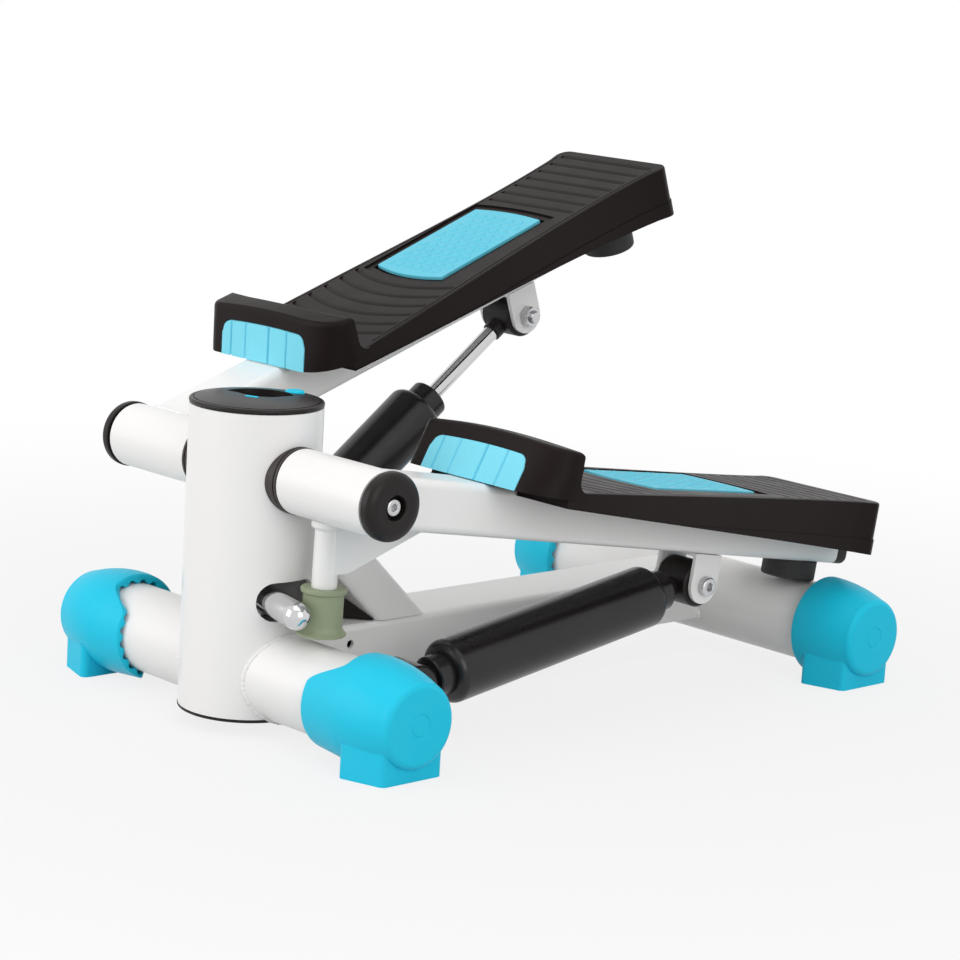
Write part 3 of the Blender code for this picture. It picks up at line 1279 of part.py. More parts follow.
def build():
    """Every piece of the machine."""
    remove_scene_objects()
    finishes = {
        "white": material("white_paint", (0.88, 0.87, 0.86), 0.35),
        "black": material("black_plastic", (0.030, 0.027, 0.027), 0.45),
        "black_brown": material("footplate_plastic", (0.035, 0.027, 0.026), 0.55),
        "cyan": material("cyan_plastic", (0.05, 0.62, 0.80), 0.45),
        "khaki": material("khaki_sleeve", (0.28, 0.33, 0.20), 0.50),
        "chrome": material("chrome", (0.80, 0.80, 0.80), 0.08, 1.0),
        "steel": material("zinc_steel", (0.55, 0.55, 0.56), 0.30, 1.0),
        "glass": material("display_glass", (0.02, 0.03, 0.03), 0.10),
    }
    build_column(finishes)
    build_console(finishes)
    build_frame(finishes)
    build_feet(finishes["cyan"])
    build_pivot(finishes)
    build_rocker(finishes)
    build_lugs(finishes)
    angles = {"left": LOW_ANGLE, "right": HIGH_ANGLE}
    axes = {name: joint(f"{name}_arm_axis", (0, COLUMN_Y, PIVOT_Z), turn=angles[name]) for name in SIDES}
    for side_name, side in SIDES.items():
        build_arm(side_name, side, axes[side_name], finishes)
        build_arm_trim(side_name, side, axes[side_name], finishes)
    build_pedals(axes, finishes)
    build_dampers(axes, finishes)


build()
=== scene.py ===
"""The looks of a mini stepper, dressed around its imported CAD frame.

Metres, +Z up, +Y towards the user's heels, +X to the user's left. Every piece takes its
place from the frame: the boxes of its nodes and the axes of its joints.
"""
import json
import math

import bmesh
import bpy
from mathutils import Matrix, Vector


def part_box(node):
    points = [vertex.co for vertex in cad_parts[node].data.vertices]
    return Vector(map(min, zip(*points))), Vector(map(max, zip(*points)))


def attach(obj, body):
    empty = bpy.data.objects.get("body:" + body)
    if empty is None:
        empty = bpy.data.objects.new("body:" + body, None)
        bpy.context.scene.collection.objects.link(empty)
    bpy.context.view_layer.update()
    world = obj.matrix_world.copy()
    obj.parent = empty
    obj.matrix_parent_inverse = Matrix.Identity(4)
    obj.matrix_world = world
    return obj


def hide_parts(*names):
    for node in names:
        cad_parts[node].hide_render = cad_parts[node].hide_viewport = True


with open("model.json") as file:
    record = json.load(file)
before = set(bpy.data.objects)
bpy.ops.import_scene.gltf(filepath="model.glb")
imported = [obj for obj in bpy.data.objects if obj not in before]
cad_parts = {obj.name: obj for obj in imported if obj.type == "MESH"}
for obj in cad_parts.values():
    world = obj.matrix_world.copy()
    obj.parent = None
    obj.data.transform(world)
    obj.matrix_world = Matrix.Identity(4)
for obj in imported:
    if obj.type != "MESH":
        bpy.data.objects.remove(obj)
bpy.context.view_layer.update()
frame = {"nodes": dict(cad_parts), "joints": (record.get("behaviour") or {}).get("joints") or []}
joints = {joint["name"]: joint for joint in frame["joints"]}
sides = {"left": 1, "right": -1}


# Column: a painted steel tube that stands on the floor plate. A slot in each side lets
# the rocker bar swing, and a hole right through it takes the pedal shaft.

class Value:
    """A number or colour that varies over a surface. Sums on it add Math nodes."""

    def __init__(self, tree, socket):
        self.tree = tree
        self.socket = socket

    def math(self, operation, *values):
        node = self.tree.nodes.new("ShaderNodeMath")
        node.operation = operation
        for place, value in zip(node.inputs, values):
            if isinstance(value, Value):
                self.tree.links.new(value.socket, place)
            else:
                place.default_value = value
        return Value(self.tree, node.outputs[0])

    def __add__(self, other):
        return self.math("ADD", self, other)

    def __radd__(self, other):
        return self.math("ADD", other, self)

    def __sub__(self, other):
        return self.math("SUBTRACT", self, other)

    def __rsub__(self, other):
        return self.math("SUBTRACT", other, self)

    def __mul__(self, other):
        return self.math("MULTIPLY", self, other)

    def __rmul__(self, other):
        return self.math("MULTIPLY", other, self)

    def __truediv__(self, other):
        return self.math("DIVIDE", self, other)

    def __pow__(self, other):
        return self.math("POWER", self, other)


class Nodes:
    """A node tree. Its node method adds any node to it."""

    def __init__(self, tree):
        self.tree = tree

    def node(self, kind, settings=None, output=0, **values):
        """A node with its settings and input sockets filled. Spaces in names are underscores."""
        node = self.tree.nodes.new(kind)
        for key, value in (settings or {}).items():
            setattr(node, key, value)
        for key, value in values.items():
            place = node.inputs[int(key[1:]) if key[1:].isdigit() else key.replace("_", " ")]
            if isinstance(value, Value):
                self.tree.links.new(value.socket, place)
            else:
                place.default_value = value
        return Value(self.tree, node.outputs[output])


class Finish(Nodes):
    """One surface finish, on a Principled shader."""

    def __init__(self, name, colour, roughness, metallic=0.0, coat=0.0, specular=0.5):
        self.material = bpy.data.materials.new(name)
        self.material.use_nodes = True
        super().__init__(self.material.node_tree)
        self.surface = self.tree.nodes["Principled BSDF"]
        self.colour = (*colour, 1.0)
        self.surface.inputs["Base Color"].default_value = self.colour
        self.surface.inputs["Roughness"].default_value = roughness
        self.surface.inputs["Metallic"].default_value = metallic
        self.surface.inputs["Coat Weight"].default_value = coat
        self.surface.inputs["Specular IOR Level"].default_value = specular
        self.place = self.node("ShaderNodeTexCoord", output="Object")

    def noise(self, scale, detail=3.0):
        """Soft random patches. The scale counts patches in a metre."""
        return self.node("ShaderNodeTexNoise", Vector=self.place, Scale=scale, Detail=detail)

    def feed(self, socket, value):
        self.tree.links.new(value.socket, self.surface.inputs[socket])

    def tint(self, other_colour, mask):
        """Blend the base colour towards another one where the mask is 1."""
        kind = {"data_type": "RGBA"}
        mix = self.node("ShaderNodeMix", kind, output=2, _0=mask, _6=self.colour, _7=(*other_colour, 1.0))
        self.feed("Base Color", mix)

    def relief(self, height, depth):
        """Raise the surface by a height map, the depth in metres."""
        self.feed("Normal", self.node("ShaderNodeBump", Height=height, Distance=depth, Strength=1.0))

    def dress(self, gloss, grain, fade=None):
        """Uneven gloss (low, span, scale), grain (scale, detail, depth) and patches of a colour."""
        low, span, scale = gloss
        self.feed("Roughness", low + span * self.noise(scale))
        if fade:
            colour, share, scale, power = fade
            self.tint(colour, share * self.noise(scale) ** power)
        scale, detail, depth = grain
        self.relief(self.noise(scale, detail), depth)
        return self


def loft(rings, closed=False):
    """A solid through a row of rings of points. A ring may be a single point."""
    shape = bmesh.new()
    rows = [[shape.verts.new(point) for point in ring] for ring in rings]
    pairs = list(zip(rows, rows[1:]))
    if closed:
        pairs.append((rows[-1], rows[0]))
    for lower, upper in pairs:
        count = max(len(lower), len(upper))
        for index in range(count):
            after = (index + 1) % count
            corners = [lower[index % len(lower)], lower[after % len(lower)]]
            corners += [upper[after % len(upper)], upper[index % len(upper)]]
            shape.faces.new(list(dict.fromkeys(corners)))
    if not closed:
        for end in (rows[0], rows[-1]):
            if len(end) > 1:
                shape.faces.new(end)
    bmesh.ops.recalc_face_normals(shape, faces=shape.faces)
    return shape


def round_ring(radius, height, steps):
    """A round ring at a height."""
    turns = [2 * math.pi * index / steps for index in range(steps)]
    return [Vector((radius * math.cos(turn), radius * math.sin(turn), height)) for turn in turns]


def lathe(profile, steps=96, closed=False):
    """A shape turned about Z from (height, radius) steps."""
    rings = []
    for height, radius in profile:
        rings.append(round_ring(radius, height, steps) if radius else [Vector((0, 0, height))])
    return loft(rings, closed)


def round_bar(radius, start, end, steps=96):
    """A plain round bar about Z."""
    return lathe([(start, 0), (start, radius), (end, radius), (end, 0)], steps)


def arc(centre, radius, start, end, steps):
    """Points on a round stretch of a profile, angles in degrees."""
    points = []
    for step in range(steps + 1):
        turn = math.radians(start + (end - start) * step / steps)
        points.append((centre[0] + radius * math.cos(turn), centre[1] + radius * math.sin(turn)))
    return points


def draw_out(outline, start, end, axis="Z"):
    """An outline drawn out along an axis."""
    order = {
        "X": lambda a, b, c: (c, a, b), "Y": lambda a, b, c: (a, c, b), "Z": lambda a, b, c: (a, b, c),
    }[axis]
    return loft([[Vector(order(a, b, along)) for a, b in outline] for along in (start, end)])


def rectangle(width, depth, middle=0):
    """A rectangle's outline. The middle is its place along the first axis."""
    corners = ((-1, -1), (1, -1), (1, 1), (-1, 1))
    return [(middle + side * width / 2, level * depth / 2) for side, level in corners]


def shifted(shape, matrix):
    """The same shape, put elsewhere."""
    bmesh.ops.transform(shape, matrix=matrix, verts=shape.verts)
    return shape


def blank(shape, name="tool"):
    """A plain object from a shape."""
    mesh = bpy.data.meshes.new(name)
    shape.to_mesh(mesh)
    shape.free()
    item = bpy.data.objects.new(name, mesh)
    bpy.context.scene.collection.objects.link(item)
    return item


def bake(item):
    """Apply an object's modifiers."""
    graph = bpy.context.evaluated_depsgraph_get()
    graph.update()
    mesh = bpy.data.meshes.new_from_object(item.evaluated_get(graph))
    item.modifiers.clear()
    item.data = mesh
    return item


def carve(item, *shapes, operation="DIFFERENCE"):
    """Cut shapes away from an object, or join them on."""
    for shape in shapes:
        tool = blank(shape)
        modifier = item.modifiers.new("carve", "BOOLEAN")
        modifier.operation = operation
        modifier.solver = "EXACT"
        modifier.object = tool
        bake(item)
        bpy.data.objects.remove(tool)
    return item


def soften(item, width, segments=3, angle=35):
    """Round off an object's sharp edges."""
    bevel = item.modifiers.new("soften", "BEVEL")
    bevel.width = width
    bevel.segments = segments
    bevel.limit_method = "ANGLE"
    bevel.angle_limit = math.radians(angle)
    bevel.use_clamp_overlap = True
    bevel.harden_normals = False
    return bake(item)


def settle(item, name, finish, body, stands_for=(), matrix=None):
    """Put a piece in its place, shade it, and tie it to its body and its nodes."""
    if matrix:
        item.data.transform(matrix)
    item.name = name
    item.data.name = name
    item.data.materials.clear()
    item.data.materials.append(finish.material)
    item.data.shade_smooth()
    item.data.set_sharp_from_angle(angle=math.radians(32))
    weigh = item.modifiers.new("weigh", "WEIGHTED_NORMAL")
    weigh.keep_sharp = True
    bake(item)
    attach(item, body)
    if stands_for:
        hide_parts(*stands_for)
    return item


def white_paint(name):
    """Powder coat: faint orange peel, and gloss that varies a little."""
    finish = Finish(name, (0.88, 0.87, 0.86), 0.34, coat=0.1)
    return finish.dress((0.28, 0.12, 14.0), (620.0, 2.0, 0.00005), ((0.80, 0.79, 0.78), 0.5, 5.0, 3))


column_low, column_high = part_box("column_tube")
column_radius = (column_high.x - column_low.x) / 2
column_y = (column_high.y + column_low.y) / 2
column_wall = 0.0025
at_column = Matrix.Translation((0, column_y, 0))
pivot = Vector(joints["left_pedal"]["pos_m"])
rocker_z = joints["rocker_turn"]["pos_m"][2]
slot_height = 0.0224
slot_half_sweep = math.radians(32.6)
shaft_radius = 0.0080
fit_gap = 0.0003


def column_slot(side):
    """The slot's room, bent round the column, with half-round ends."""
    end_radius = slot_height / 2
    half_run = column_radius * slot_half_sweep - end_radius
    outline = arc((half_run, 0), end_radius, -90, 90, 12) + arc((-half_run, 0), end_radius, 90, 270, 12)
    rings = []
    for radius in (0.7 * column_radius, 1.4 * column_radius):
        ring = []
        for run, level in outline:
            turn = run / column_radius
            ring.append(Vector((side * radius * math.cos(turn), radius * math.sin(turn), rocker_z + level)))
        rings.append(ring)
    return loft(rings)


def across(shape):
    """A shape turned about Z, laid along X."""
    return shifted(shape, Matrix.Rotation(math.pi / 2, 4, "Y"))


column_bore = column_radius - column_wall
column_profile = [
    (column_low.z, column_bore), (column_low.z, column_radius),
    (column_high.z, column_radius), (column_high.z, column_bore),
]
column = blank(lathe(column_profile, 128, closed=True))
shaft_room = round_bar(shaft_radius, -0.05, 0.05, 48)
shaft_hole = shifted(across(shaft_room), Matrix.Translation((0, 0, pivot.z)))
carve(column, column_slot(1), column_slot(-1), shaft_hole)
settle(column, "column", white_paint("column_paint"), "frame", ["column_tube"], at_column)


# Column base: a black moulded plug with a thin rim, pushed into the foot of the column.

def moulded_black(name, colour=(0.013, 0.0105, 0.0100), roughness=0.40):
    """Injection-moulded plastic with a fine spark grain."""
    finish = Finish(name, colour, roughness, specular=0.2)
    paler = tuple(1.8 * part for part in colour)
    return finish.dress((roughness - 0.05, 0.14, 40.0), (1900.0, 2.0, 0.00004), (paler, 0.6, 9.0, 2))


base_low, base_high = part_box("column_base_cap")
rim_radius = (base_high.x - base_low.x) / 2
rim_top = column_low.z - fit_gap
rim_round = 0.0012
base_wall = 0.003
plug_radius = column_bore - fit_gap
base_profile = [(base_low.z, 0)]
base_profile += arc((base_low.z + rim_round, rim_radius - rim_round), rim_round, 180, 90, 5)
base_profile += [(rim_top, rim_radius), (rim_top, plug_radius), (base_high.z, plug_radius)]
base_floor, base_inner = base_low.z + base_wall, column_bore - base_wall
base_profile += [(base_high.z, base_inner), (base_floor, base_inner), (base_floor, 0)]
base = blank(lathe(base_profile, 128))
plastic = moulded_black("base_plastic")
settle(base, "column_base", plastic, "frame", ["column_base_cap"], at_column)


# Counter housing: a shallow black dome inside a rounded rim, with a pocket towards its rear
# and right. The display window lies in the pocket, and the cyan button stands behind it.

dome_low, dome_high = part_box("console_housing")
dome_radius = (dome_high.x - dome_low.x) / 2
rim_height = 0.0030
rim_width = 0.0022
groove_size = 0.0006
rim_z = column_high.z + rim_height
rim_edge = 0.0013
groove_outer = dome_radius - rim_width
groove_inner = groove_outer - groove_size
groove_z = rim_z - groove_size
dome_start = rim_z + 0.0002
plug_depth = 0.010
dome_profile = [(column_high.z - plug_depth, 0), (column_high.z - plug_depth, plug_radius)]
dome_profile += [(column_high.z + fit_gap, plug_radius)]
dome_profile += arc((column_high.z + fit_gap + rim_edge, dome_radius - rim_edge), rim_edge, 180, 90, 5)
dome_profile += arc((rim_z - rim_edge, dome_radius - rim_edge), rim_edge, 90, 0, 5)
dome_profile += [(rim_z, groove_outer), (groove_z, groove_outer), (groove_z, groove_inner)]
dome_steps = 14
for step in range(dome_steps + 1):
    share = 1 - step / dome_steps
    dome_profile.append((dome_start + (dome_high.z - dome_start) * (1 - share ** 3), groove_inner * share))
dome = blank(lathe(dome_profile, 128))
pocket_radius = 0.0205
pocket_front = -0.0070
pocket_corner = 0.0120
pocket_depth = 0.0045
tool_room = 0.01
pocket_floor = dome_high.z - pocket_depth
corner_middle = pocket_front + pocket_corner
left_turn = math.degrees(math.acos(pocket_corner / pocket_radius))
front_turn = 180 - math.degrees(math.asin(pocket_front / pocket_radius))
pocket_outline = arc((0, 0), pocket_radius, left_turn, front_turn, 40)
pocket_outline += arc((0, corner_middle), pocket_corner, -90, 0, 20)
window_low, window_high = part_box("console_display")
window_size = window_high - window_low
window_outline = rectangle(window_size.x + 2 * fit_gap, window_size.y + 2 * fit_gap)
button_low, button_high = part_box("console_button")
button_middle = (button_low + button_high) / 2
button_radius = (button_high.x - button_low.x) / 2
button_room = round_bar(button_radius + fit_gap, button_low.z - 0.002, dome_high.z + tool_room, 64)
button_hole = shifted(button_room, Matrix.Translation((0, button_middle.y - column_y, 0)))
window_room = draw_out(window_outline, window_low.z - fit_gap, window_high.z + fit_gap)
carve(dome, draw_out(pocket_outline, pocket_floor, dome_high.z + tool_room), window_room, button_hole)
soften(dome, 0.0004, 2)
plastic = moulded_black("housing_plastic", roughness=0.32)
settle(dome, "counter_housing", plastic, "frame", ["console_housing"], at_column)

window_glass = Finish("display_window", (0.012, 0.016, 0.018), 0.08, coat=0.6)
window_glass.tint((0.035, 0.045, 0.045), window_glass.noise(60.0) * 0.6)
window_glass.feed("Roughness", 0.07 + 0.05 * window_glass.noise(50.0))
window_outline = rectangle(window_size.x, window_size.y)
window = soften(blank(draw_out(window_outline, window_low.z, window_high.z)), 0.0004)
settle(window, "display", window_glass, "frame", ["console_display"], at_column)


def moulded_cyan(name, colour=(0.008, 0.580, 0.810)):
    """Cyan moulded plastic with a fine grain and slightly uneven gloss."""
    finish = Finish(name, colour, 0.40, specular=0.12)
    paler = tuple(0.9 * part + 0.06 for part in colour)
    return finish.dress((0.34, 0.14, 30.0), (1500.0, 2.0, 0.00003), (paler, 0.7, 12.0, 2))


bar_length = 0.0080
bar_width = 0.0026
bar_turn = math.radians(-68)
bar_offset = 0.0022
bar_outline = rectangle(bar_width, bar_length, pocket_corner + bar_offset)
bar = draw_out(bar_outline, window_high.z + 0.0010, dome_high.z + 0.0003)
bar = shifted(bar, Matrix.Translation((0, corner_middle, 0)) @ Matrix.Rotation(bar_turn, 4, "Z"))
bar = soften(blank(bar), 0.0004)
settle(bar, "dial_bar", moulded_cyan("dial_bar_plastic"), "frame", (), at_column)

button_round = 0.0012
button_profile = [(button_low.z, 0), (button_low.z, button_radius)]
button_profile += arc((button_high.z - button_round, button_radius - button_round), button_round, 90, 0, 6)
button_profile += [(button_high.z - 0.0003, 0.3 * button_radius), (button_high.z - 0.0004, 0)]
button = blank(lathe(button_profile, 64))
at_button = Matrix.Translation((0, button_middle.y, 0))
plastic = moulded_cyan("button_plastic")
settle(button, "reset_button", plastic, "button", ["console_button"], at_button)


# Cross tubes: round steel tubes, painted white. The front one is two halves, coped and
# welded to the column; the rear one carries the end of the centre beam.

tube_low, tube_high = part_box("rear_cross_tube")
tube_radius = (tube_high.z - tube_low.z) / 2
tube_z = (tube_high.z + tube_low.z) / 2
tube_wall = 0.0028
rear_y = (tube_high.y + tube_low.y) / 2
at_rear = Matrix.Translation((0, rear_y, tube_z))
at_front = Matrix.Translation((0, column_y, tube_z))


def pipe(start, end, radius, wall, steps=96):
    """A round tube along X."""
    profile = [(start, radius - wall), (start, radius), (end, radius), (end, radius - wall)]
    return across(lathe(profile, steps, closed=True))


def upright(radius, low, high, steps=128):
    """A round bar that stands on the column's axis."""
    return shifted(round_bar(radius, low, high, steps), at_column)


rear_tube = blank(pipe(tube_low.x, tube_high.x, tube_radius, tube_wall))
paint = white_paint("rear_tube_paint")
settle(rear_tube, "rear_tube", paint, "frame", ["rear_cross_tube"], at_rear)
for side_name, side in sides.items():
    node = f"front_tube_{side_name}"
    half_low, half_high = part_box(node)
    ends = sorted((side * column_radius / 2, half_high.x if side > 0 else half_low.x))
    half = blank(shifted(pipe(ends[0], ends[1], tube_radius, tube_wall), at_front))
    carve(half, upright(column_radius + fit_gap, -0.02, 0.2))
    paint = white_paint(f"{node}_paint")
    settle(half, node.replace("tube", "cross_tube"), paint, "frame", [node])


# Centre beam and brace: square steel tube, cut to the round tubes that it meets. The
# shapes are the frame's own, with their corners and cut edges eased.

def settle_copy(node, width, name, finish, body, segments=2):
    """Settle a node's own mesh, merged, with its sharp edges rounded off."""
    shape = bmesh.new()
    shape.from_mesh(frame["nodes"][node].data)
    bmesh.ops.remove_doubles(shape, verts=shape.verts, dist=0.00001)
    bmesh.ops.dissolve_limit(shape, angle_limit=math.radians(1), verts=shape.verts, edges=shape.edges)
    return settle(soften(blank(shape), width, segments), name, finish, body, [node])


for node in ("main_beam", "column_brace"):
    paint = white_paint(f"{node}_paint")
    settle_copy(node, 0.0003, node.replace("_", "_steel_"), paint, "frame")


def rounded_block(width, depth, corner, steps=6):
    """A rectangle's outline with round corners."""
    outline = []
    for side, level, start in ((1, 1, 0), (-1, 1, 90), (-1, -1, 180), (1, -1, 270)):
        centre = (side * (width / 2 - corner), level * (depth / 2 - corner))
        outline += arc(centre, corner, start, start + 90, steps)
    return outline


class Growth(Nodes):
    """A Geometry Nodes group with named inputs. It ends in real meshes with a material."""

    def __init__(self, name, **kinds):
        super().__init__(bpy.data.node_groups.new(name, "GeometryNodeTree"))
        sockets = self.tree.interface
        sockets.new_socket("Geometry", in_out="OUTPUT", socket_type="NodeSocketGeometry")
        self.names = {}
        for label, kind in kinds.items():
            socket = sockets.new_socket(label, in_out="INPUT", socket_type=f"NodeSocket{kind}")
            self.names[label] = socket.identifier
        outputs = self.tree.nodes.new("NodeGroupInput").outputs
        self.given = {label: Value(self.tree, outputs[label]) for label in kinds}

    def grow(self, item, instances, **values):
        """Run the group on an object and keep what it makes."""
        whole = self.node("GeometryNodeRealizeInstances", _0=instances)
        coat = self.node("GeometryNodeSetMaterial", Geometry=whole, Material=self.given["Material"])
        self.tree.links.new(coat.socket, self.tree.nodes.new("NodeGroupOutput").inputs[0])
        modifier = item.modifiers.new("grow", "NODES")
        modifier.node_group = self.tree
        for label, value in values.items():
            modifier[self.names[label]] = value
        return bake(item)


bead_spacing = 0.0014
bead_radius = 0.0014


def weld_beads(name, paths, finish, body, matrix=None):
    """Small overlapping beads along paths. Each path is a closed ring of points."""
    shape = bmesh.new()
    for path in paths:
        points = [shape.verts.new(point) for point in path]
        for first, second in zip(points, points[1:] + points[:1]):
            shape.edges.new((first, second))
    beads = Growth("weld_beads", Geometry="Geometry", Spacing="Float", Radius="Float", Material="Material")
    given = beads.given
    curve = beads.node("GeometryNodeMeshToCurve", Mesh=given["Geometry"])
    lengths = {"mode": "LENGTH"}
    evenly = beads.node("GeometryNodeResampleCurve", lengths, Curve=curve, Length=given["Spacing"])
    bead = beads.node("GeometryNodeMeshIcoSphere", Radius=given["Radius"], Subdivisions=3)
    numbers = {"data_type": "FLOAT"}
    size = beads.node("FunctionNodeRandomValue", numbers, output=1, _2=0.9, _3=1.1, Seed=7)
    repeat = beads.node("GeometryNodeInstanceOnPoints", Points=evenly, Instance=bead, Scale=size)
    sizes = {"Spacing": bead_spacing, "Radius": bead_radius, "Material": finish.material}
    item = beads.grow(blank(shape, name), repeat, **sizes)
    return settle(item, name, finish, body, (), matrix)


weld_rise = 0.0006


def hug(radius, off):
    """How far out a bead lies on a round tube, at a distance off the tube's middle."""
    return math.sqrt(radius ** 2 - off ** 2) + weld_rise


def beam_seam(outline, reach):
    """A square tube's outline, laid on a round one. The reach is a rule of (across, up)."""
    return [Vector((a, reach(a, b), b)) for a, b in outline]


beam_low, beam_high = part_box("main_beam")
beam_middle = (beam_low + beam_high) / 2
beam_outline = rounded_block(beam_high.x - beam_low.x, beam_high.z - beam_low.z, 0.0040)
beam_outline = [(a, b + beam_middle.z) for a, b in beam_outline]
front_seam = beam_seam(beam_outline, lambda a, b: column_y + hug(column_radius, a))
rear_seam = beam_seam(beam_outline, lambda a, b: rear_y - hug(tube_radius, b - tube_z))
stub_seams = []
for side in sides.values():
    seam = []
    for index in range(48):
        turn = 2 * math.pi * index / 48
        a, b = tube_radius * math.cos(turn), tube_radius * math.sin(turn)
        seam.append(Vector((side * hug(column_radius, a), column_y + a, tube_z + b)))
    stub_seams.append(seam)
frame_seams = [front_seam, rear_seam, *stub_seams]
weld_beads("frame_welds", frame_seams, white_paint("frame_weld_paint"), "frame")


# Corner block: a plain black block in the corner of column, brace and beam.

guard_plastic = moulded_black("guard_plastic")
settle_copy("rocker_guard", 0.0012, "corner_black_block", guard_plastic, "frame", 3)


# Feet: cyan mouldings pushed over the tube ends. Ribs inside the skirt grip the tube, and
# a flat block under the nose stands on the floor. The front pair has a long front lobe.

foot_radius = 0.0310
foot_nose_radius = 0.0245
foot_face_radius = 0.0205
foot_nose_edge = 0.0040
foot_nose_length = 0.0400
foot_end_wall = 0.0110
foot_taper = 0.0022
foot_block_length = 0.0295
foot_block_half = (0.0220, 0.0285)
foot_block_inset = 0.0045
foot_block_corner = 0.0040
foot_rib_count = 20
foot_rib_height = 0.0022
foot_rib_run = 0.0220
foot_lip = 0.0009
rear_skirt = 0.0420
front_skirt = 0.0460
front_lobe = 0.0670
foot_end_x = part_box("rear_left_foot")[1].x


def ease(value):
    """A soft ramp from 0 to 1."""
    value = min(max(value, 0.0), 1.0)
    return value * value * (3 - 2 * value)


def skirt_reach(turn, front):
    """How far a skirt reaches along the tube, round the tube from its front over the top."""
    if not front:
        return rear_skirt
    degrees = math.degrees(turn)
    if degrees > 180:
        degrees -= 360
    lobe = 1 - ease((degrees - 27) / 35) if degrees > 0 else 1 - ease((-degrees - 66) / 35)
    return front_skirt + (front_lobe - front_skirt) * lobe


def foot_ring(reach, radius, steps=128):
    """A ring round the cross tube. The reach is a depth from the end face, or a rule."""
    ring = []
    for index in range(steps):
        turn = 2 * math.pi * index / steps
        depth = reach if isinstance(reach, float) else reach(turn)
        past_nose = max(0.0, depth - foot_nose_length) / (front_lobe - foot_nose_length)
        thick = radius - foot_taper * past_nose
        ring.append(Vector((-depth, -thick * math.cos(turn), thick * math.sin(turn))))
    return ring


def foot_shape(front):
    """A whole foot with its end face at x = 0 and a shallow moulded ring in that face."""
    rings = [[Vector((0, 0, 0))]]
    for depth, radius in ((0.0, 0.0052), (0.0004, 0.0056), (0.0004, 0.0068), (0.0, 0.0072)):
        rings.append(foot_ring(depth, radius))
    for depth, radius in arc((foot_nose_edge, foot_face_radius), foot_nose_edge, 180, 90, 8):
        rings.append(foot_ring(depth, radius))
    for step in range(1, 13):
        share = step / 12
        depth = foot_nose_edge + (foot_nose_length - foot_nose_edge) * share
        swell = (foot_radius - foot_nose_radius) * share * (2 - share)
        rings.append(foot_ring(depth, foot_nose_radius + swell))
    for share in (0.5, 1.0):
        rings.append(foot_ring(
            lambda turn: foot_nose_length + (skirt_reach(turn, front) - foot_lip - foot_nose_length) * share,
            foot_radius,
        ))
    rings.append(foot_ring(lambda turn: skirt_reach(turn, front), foot_radius - foot_lip))
    rings.append(foot_ring(lambda turn: skirt_reach(turn, front), 0.7 * tube_radius))
    rings.append([Vector((-front_skirt, 0, 0))])
    return loft(rings)


def foot_bore():
    """The ribbed room for the tube."""
    count = 4 * foot_rib_count
    slotted = []
    plain = []
    for index in range(count):
        turn = 2 * math.pi * (index + 0.5) / count
        radius = tube_radius + fit_gap
        plain.append((radius * math.cos(turn), radius * math.sin(turn)))
        if index % 4 in (1, 2):
            radius += foot_rib_height
        slotted.append((radius * math.cos(turn), radius * math.sin(turn)))
    places = [(-2 * front_lobe, slotted), (-foot_rib_run, slotted)]
    places += [(0.001 - foot_rib_run, plain), (-foot_end_wall, plain)]
    return loft([[Vector((along, a, b)) for a, b in outline] for along, outline in places])


def foot_block():
    """The standing block in plan. It widens away from the foot's end."""
    corner = foot_block_corner
    outer = -foot_block_inset - corner
    inner = -foot_block_inset - foot_block_length + corner
    narrow, wide = (half - corner for half in foot_block_half)
    outline = arc((outer, narrow), corner, 0, 90, 6) + arc((inner, wide), corner, 90, 180, 6)
    return outline + arc((inner, -wide), corner, 180, 270, 6) + arc((outer, -narrow), corner, 270, 360, 6)


for end_name, front, foot_y in (("front", True, column_y), ("rear", False, rear_y)):
    for side_name, side in sides.items():
        foot = blank(foot_shape(front))
        carve(foot, draw_out(foot_block(), -tube_z, -tube_radius / 2), operation="UNION")
        carve(foot, foot_bore())
        place = Matrix.Translation((side * foot_end_x, foot_y, tube_z)) @ Matrix.Diagonal((side, 1, 1, 1))
        foot.data.transform(place)
        if side < 0:
            foot.data.flip_normals()
        name = f"{end_name}_{side_name}_foot"
        settle(foot, f"{name}_moulding", moulded_cyan(f"{name}_plastic"), "frame", [name])


# Pedal pivot: a fixed shaft through the column. Each side has a black spacer against the
# column, the pedal's own pivot tube, and a black end cap held by a socket bolt.

def zinc_steel(name):
    """Zinc-plated steel with fine turning marks."""
    finish = Finish(name, (0.56, 0.56, 0.57), 0.28, 1.0)
    return finish.dress((0.22, 0.16, 300.0), (1200.0, 2.0, 0.00002))


spacer_radius = 0.0190
spacer_wall = 0.0105
groove_insets = (0.0026, 0.0016)
groove_depth = 0.0010
cap_radius = 0.0193
cap_pocket = 0.0070
cap_pocket_depth = 0.0060
cap_side = 0.0030
cap_fall = 0.0068
cap_chamfer = 0.0005
end_bolt = {"radius": 0.0030, "head_radius": 0.0050, "head_height": 0.0040}
eye_bolt = {"radius": 0.0040, "head_radius": 0.0058, "head_height": 0.0045}
at_pivot = Matrix.Translation(pivot)
settle_copy("pivot_shaft", 0.0003, "pedal_shaft", zinc_steel("shaft_steel"), "frame")


def hexagon(radius, height, steps):
    """A six-sided ring with as many points as a round one."""
    ring = []
    for index in range(steps):
        turn = 2 * math.pi * index / steps
        off_flat = (turn % (math.pi / 3)) - math.pi / 6
        reach = radius * math.cos(math.pi / 6) / math.cos(off_flat)
        ring.append(Vector((reach * math.cos(turn), reach * math.sin(turn), height)))
    return ring


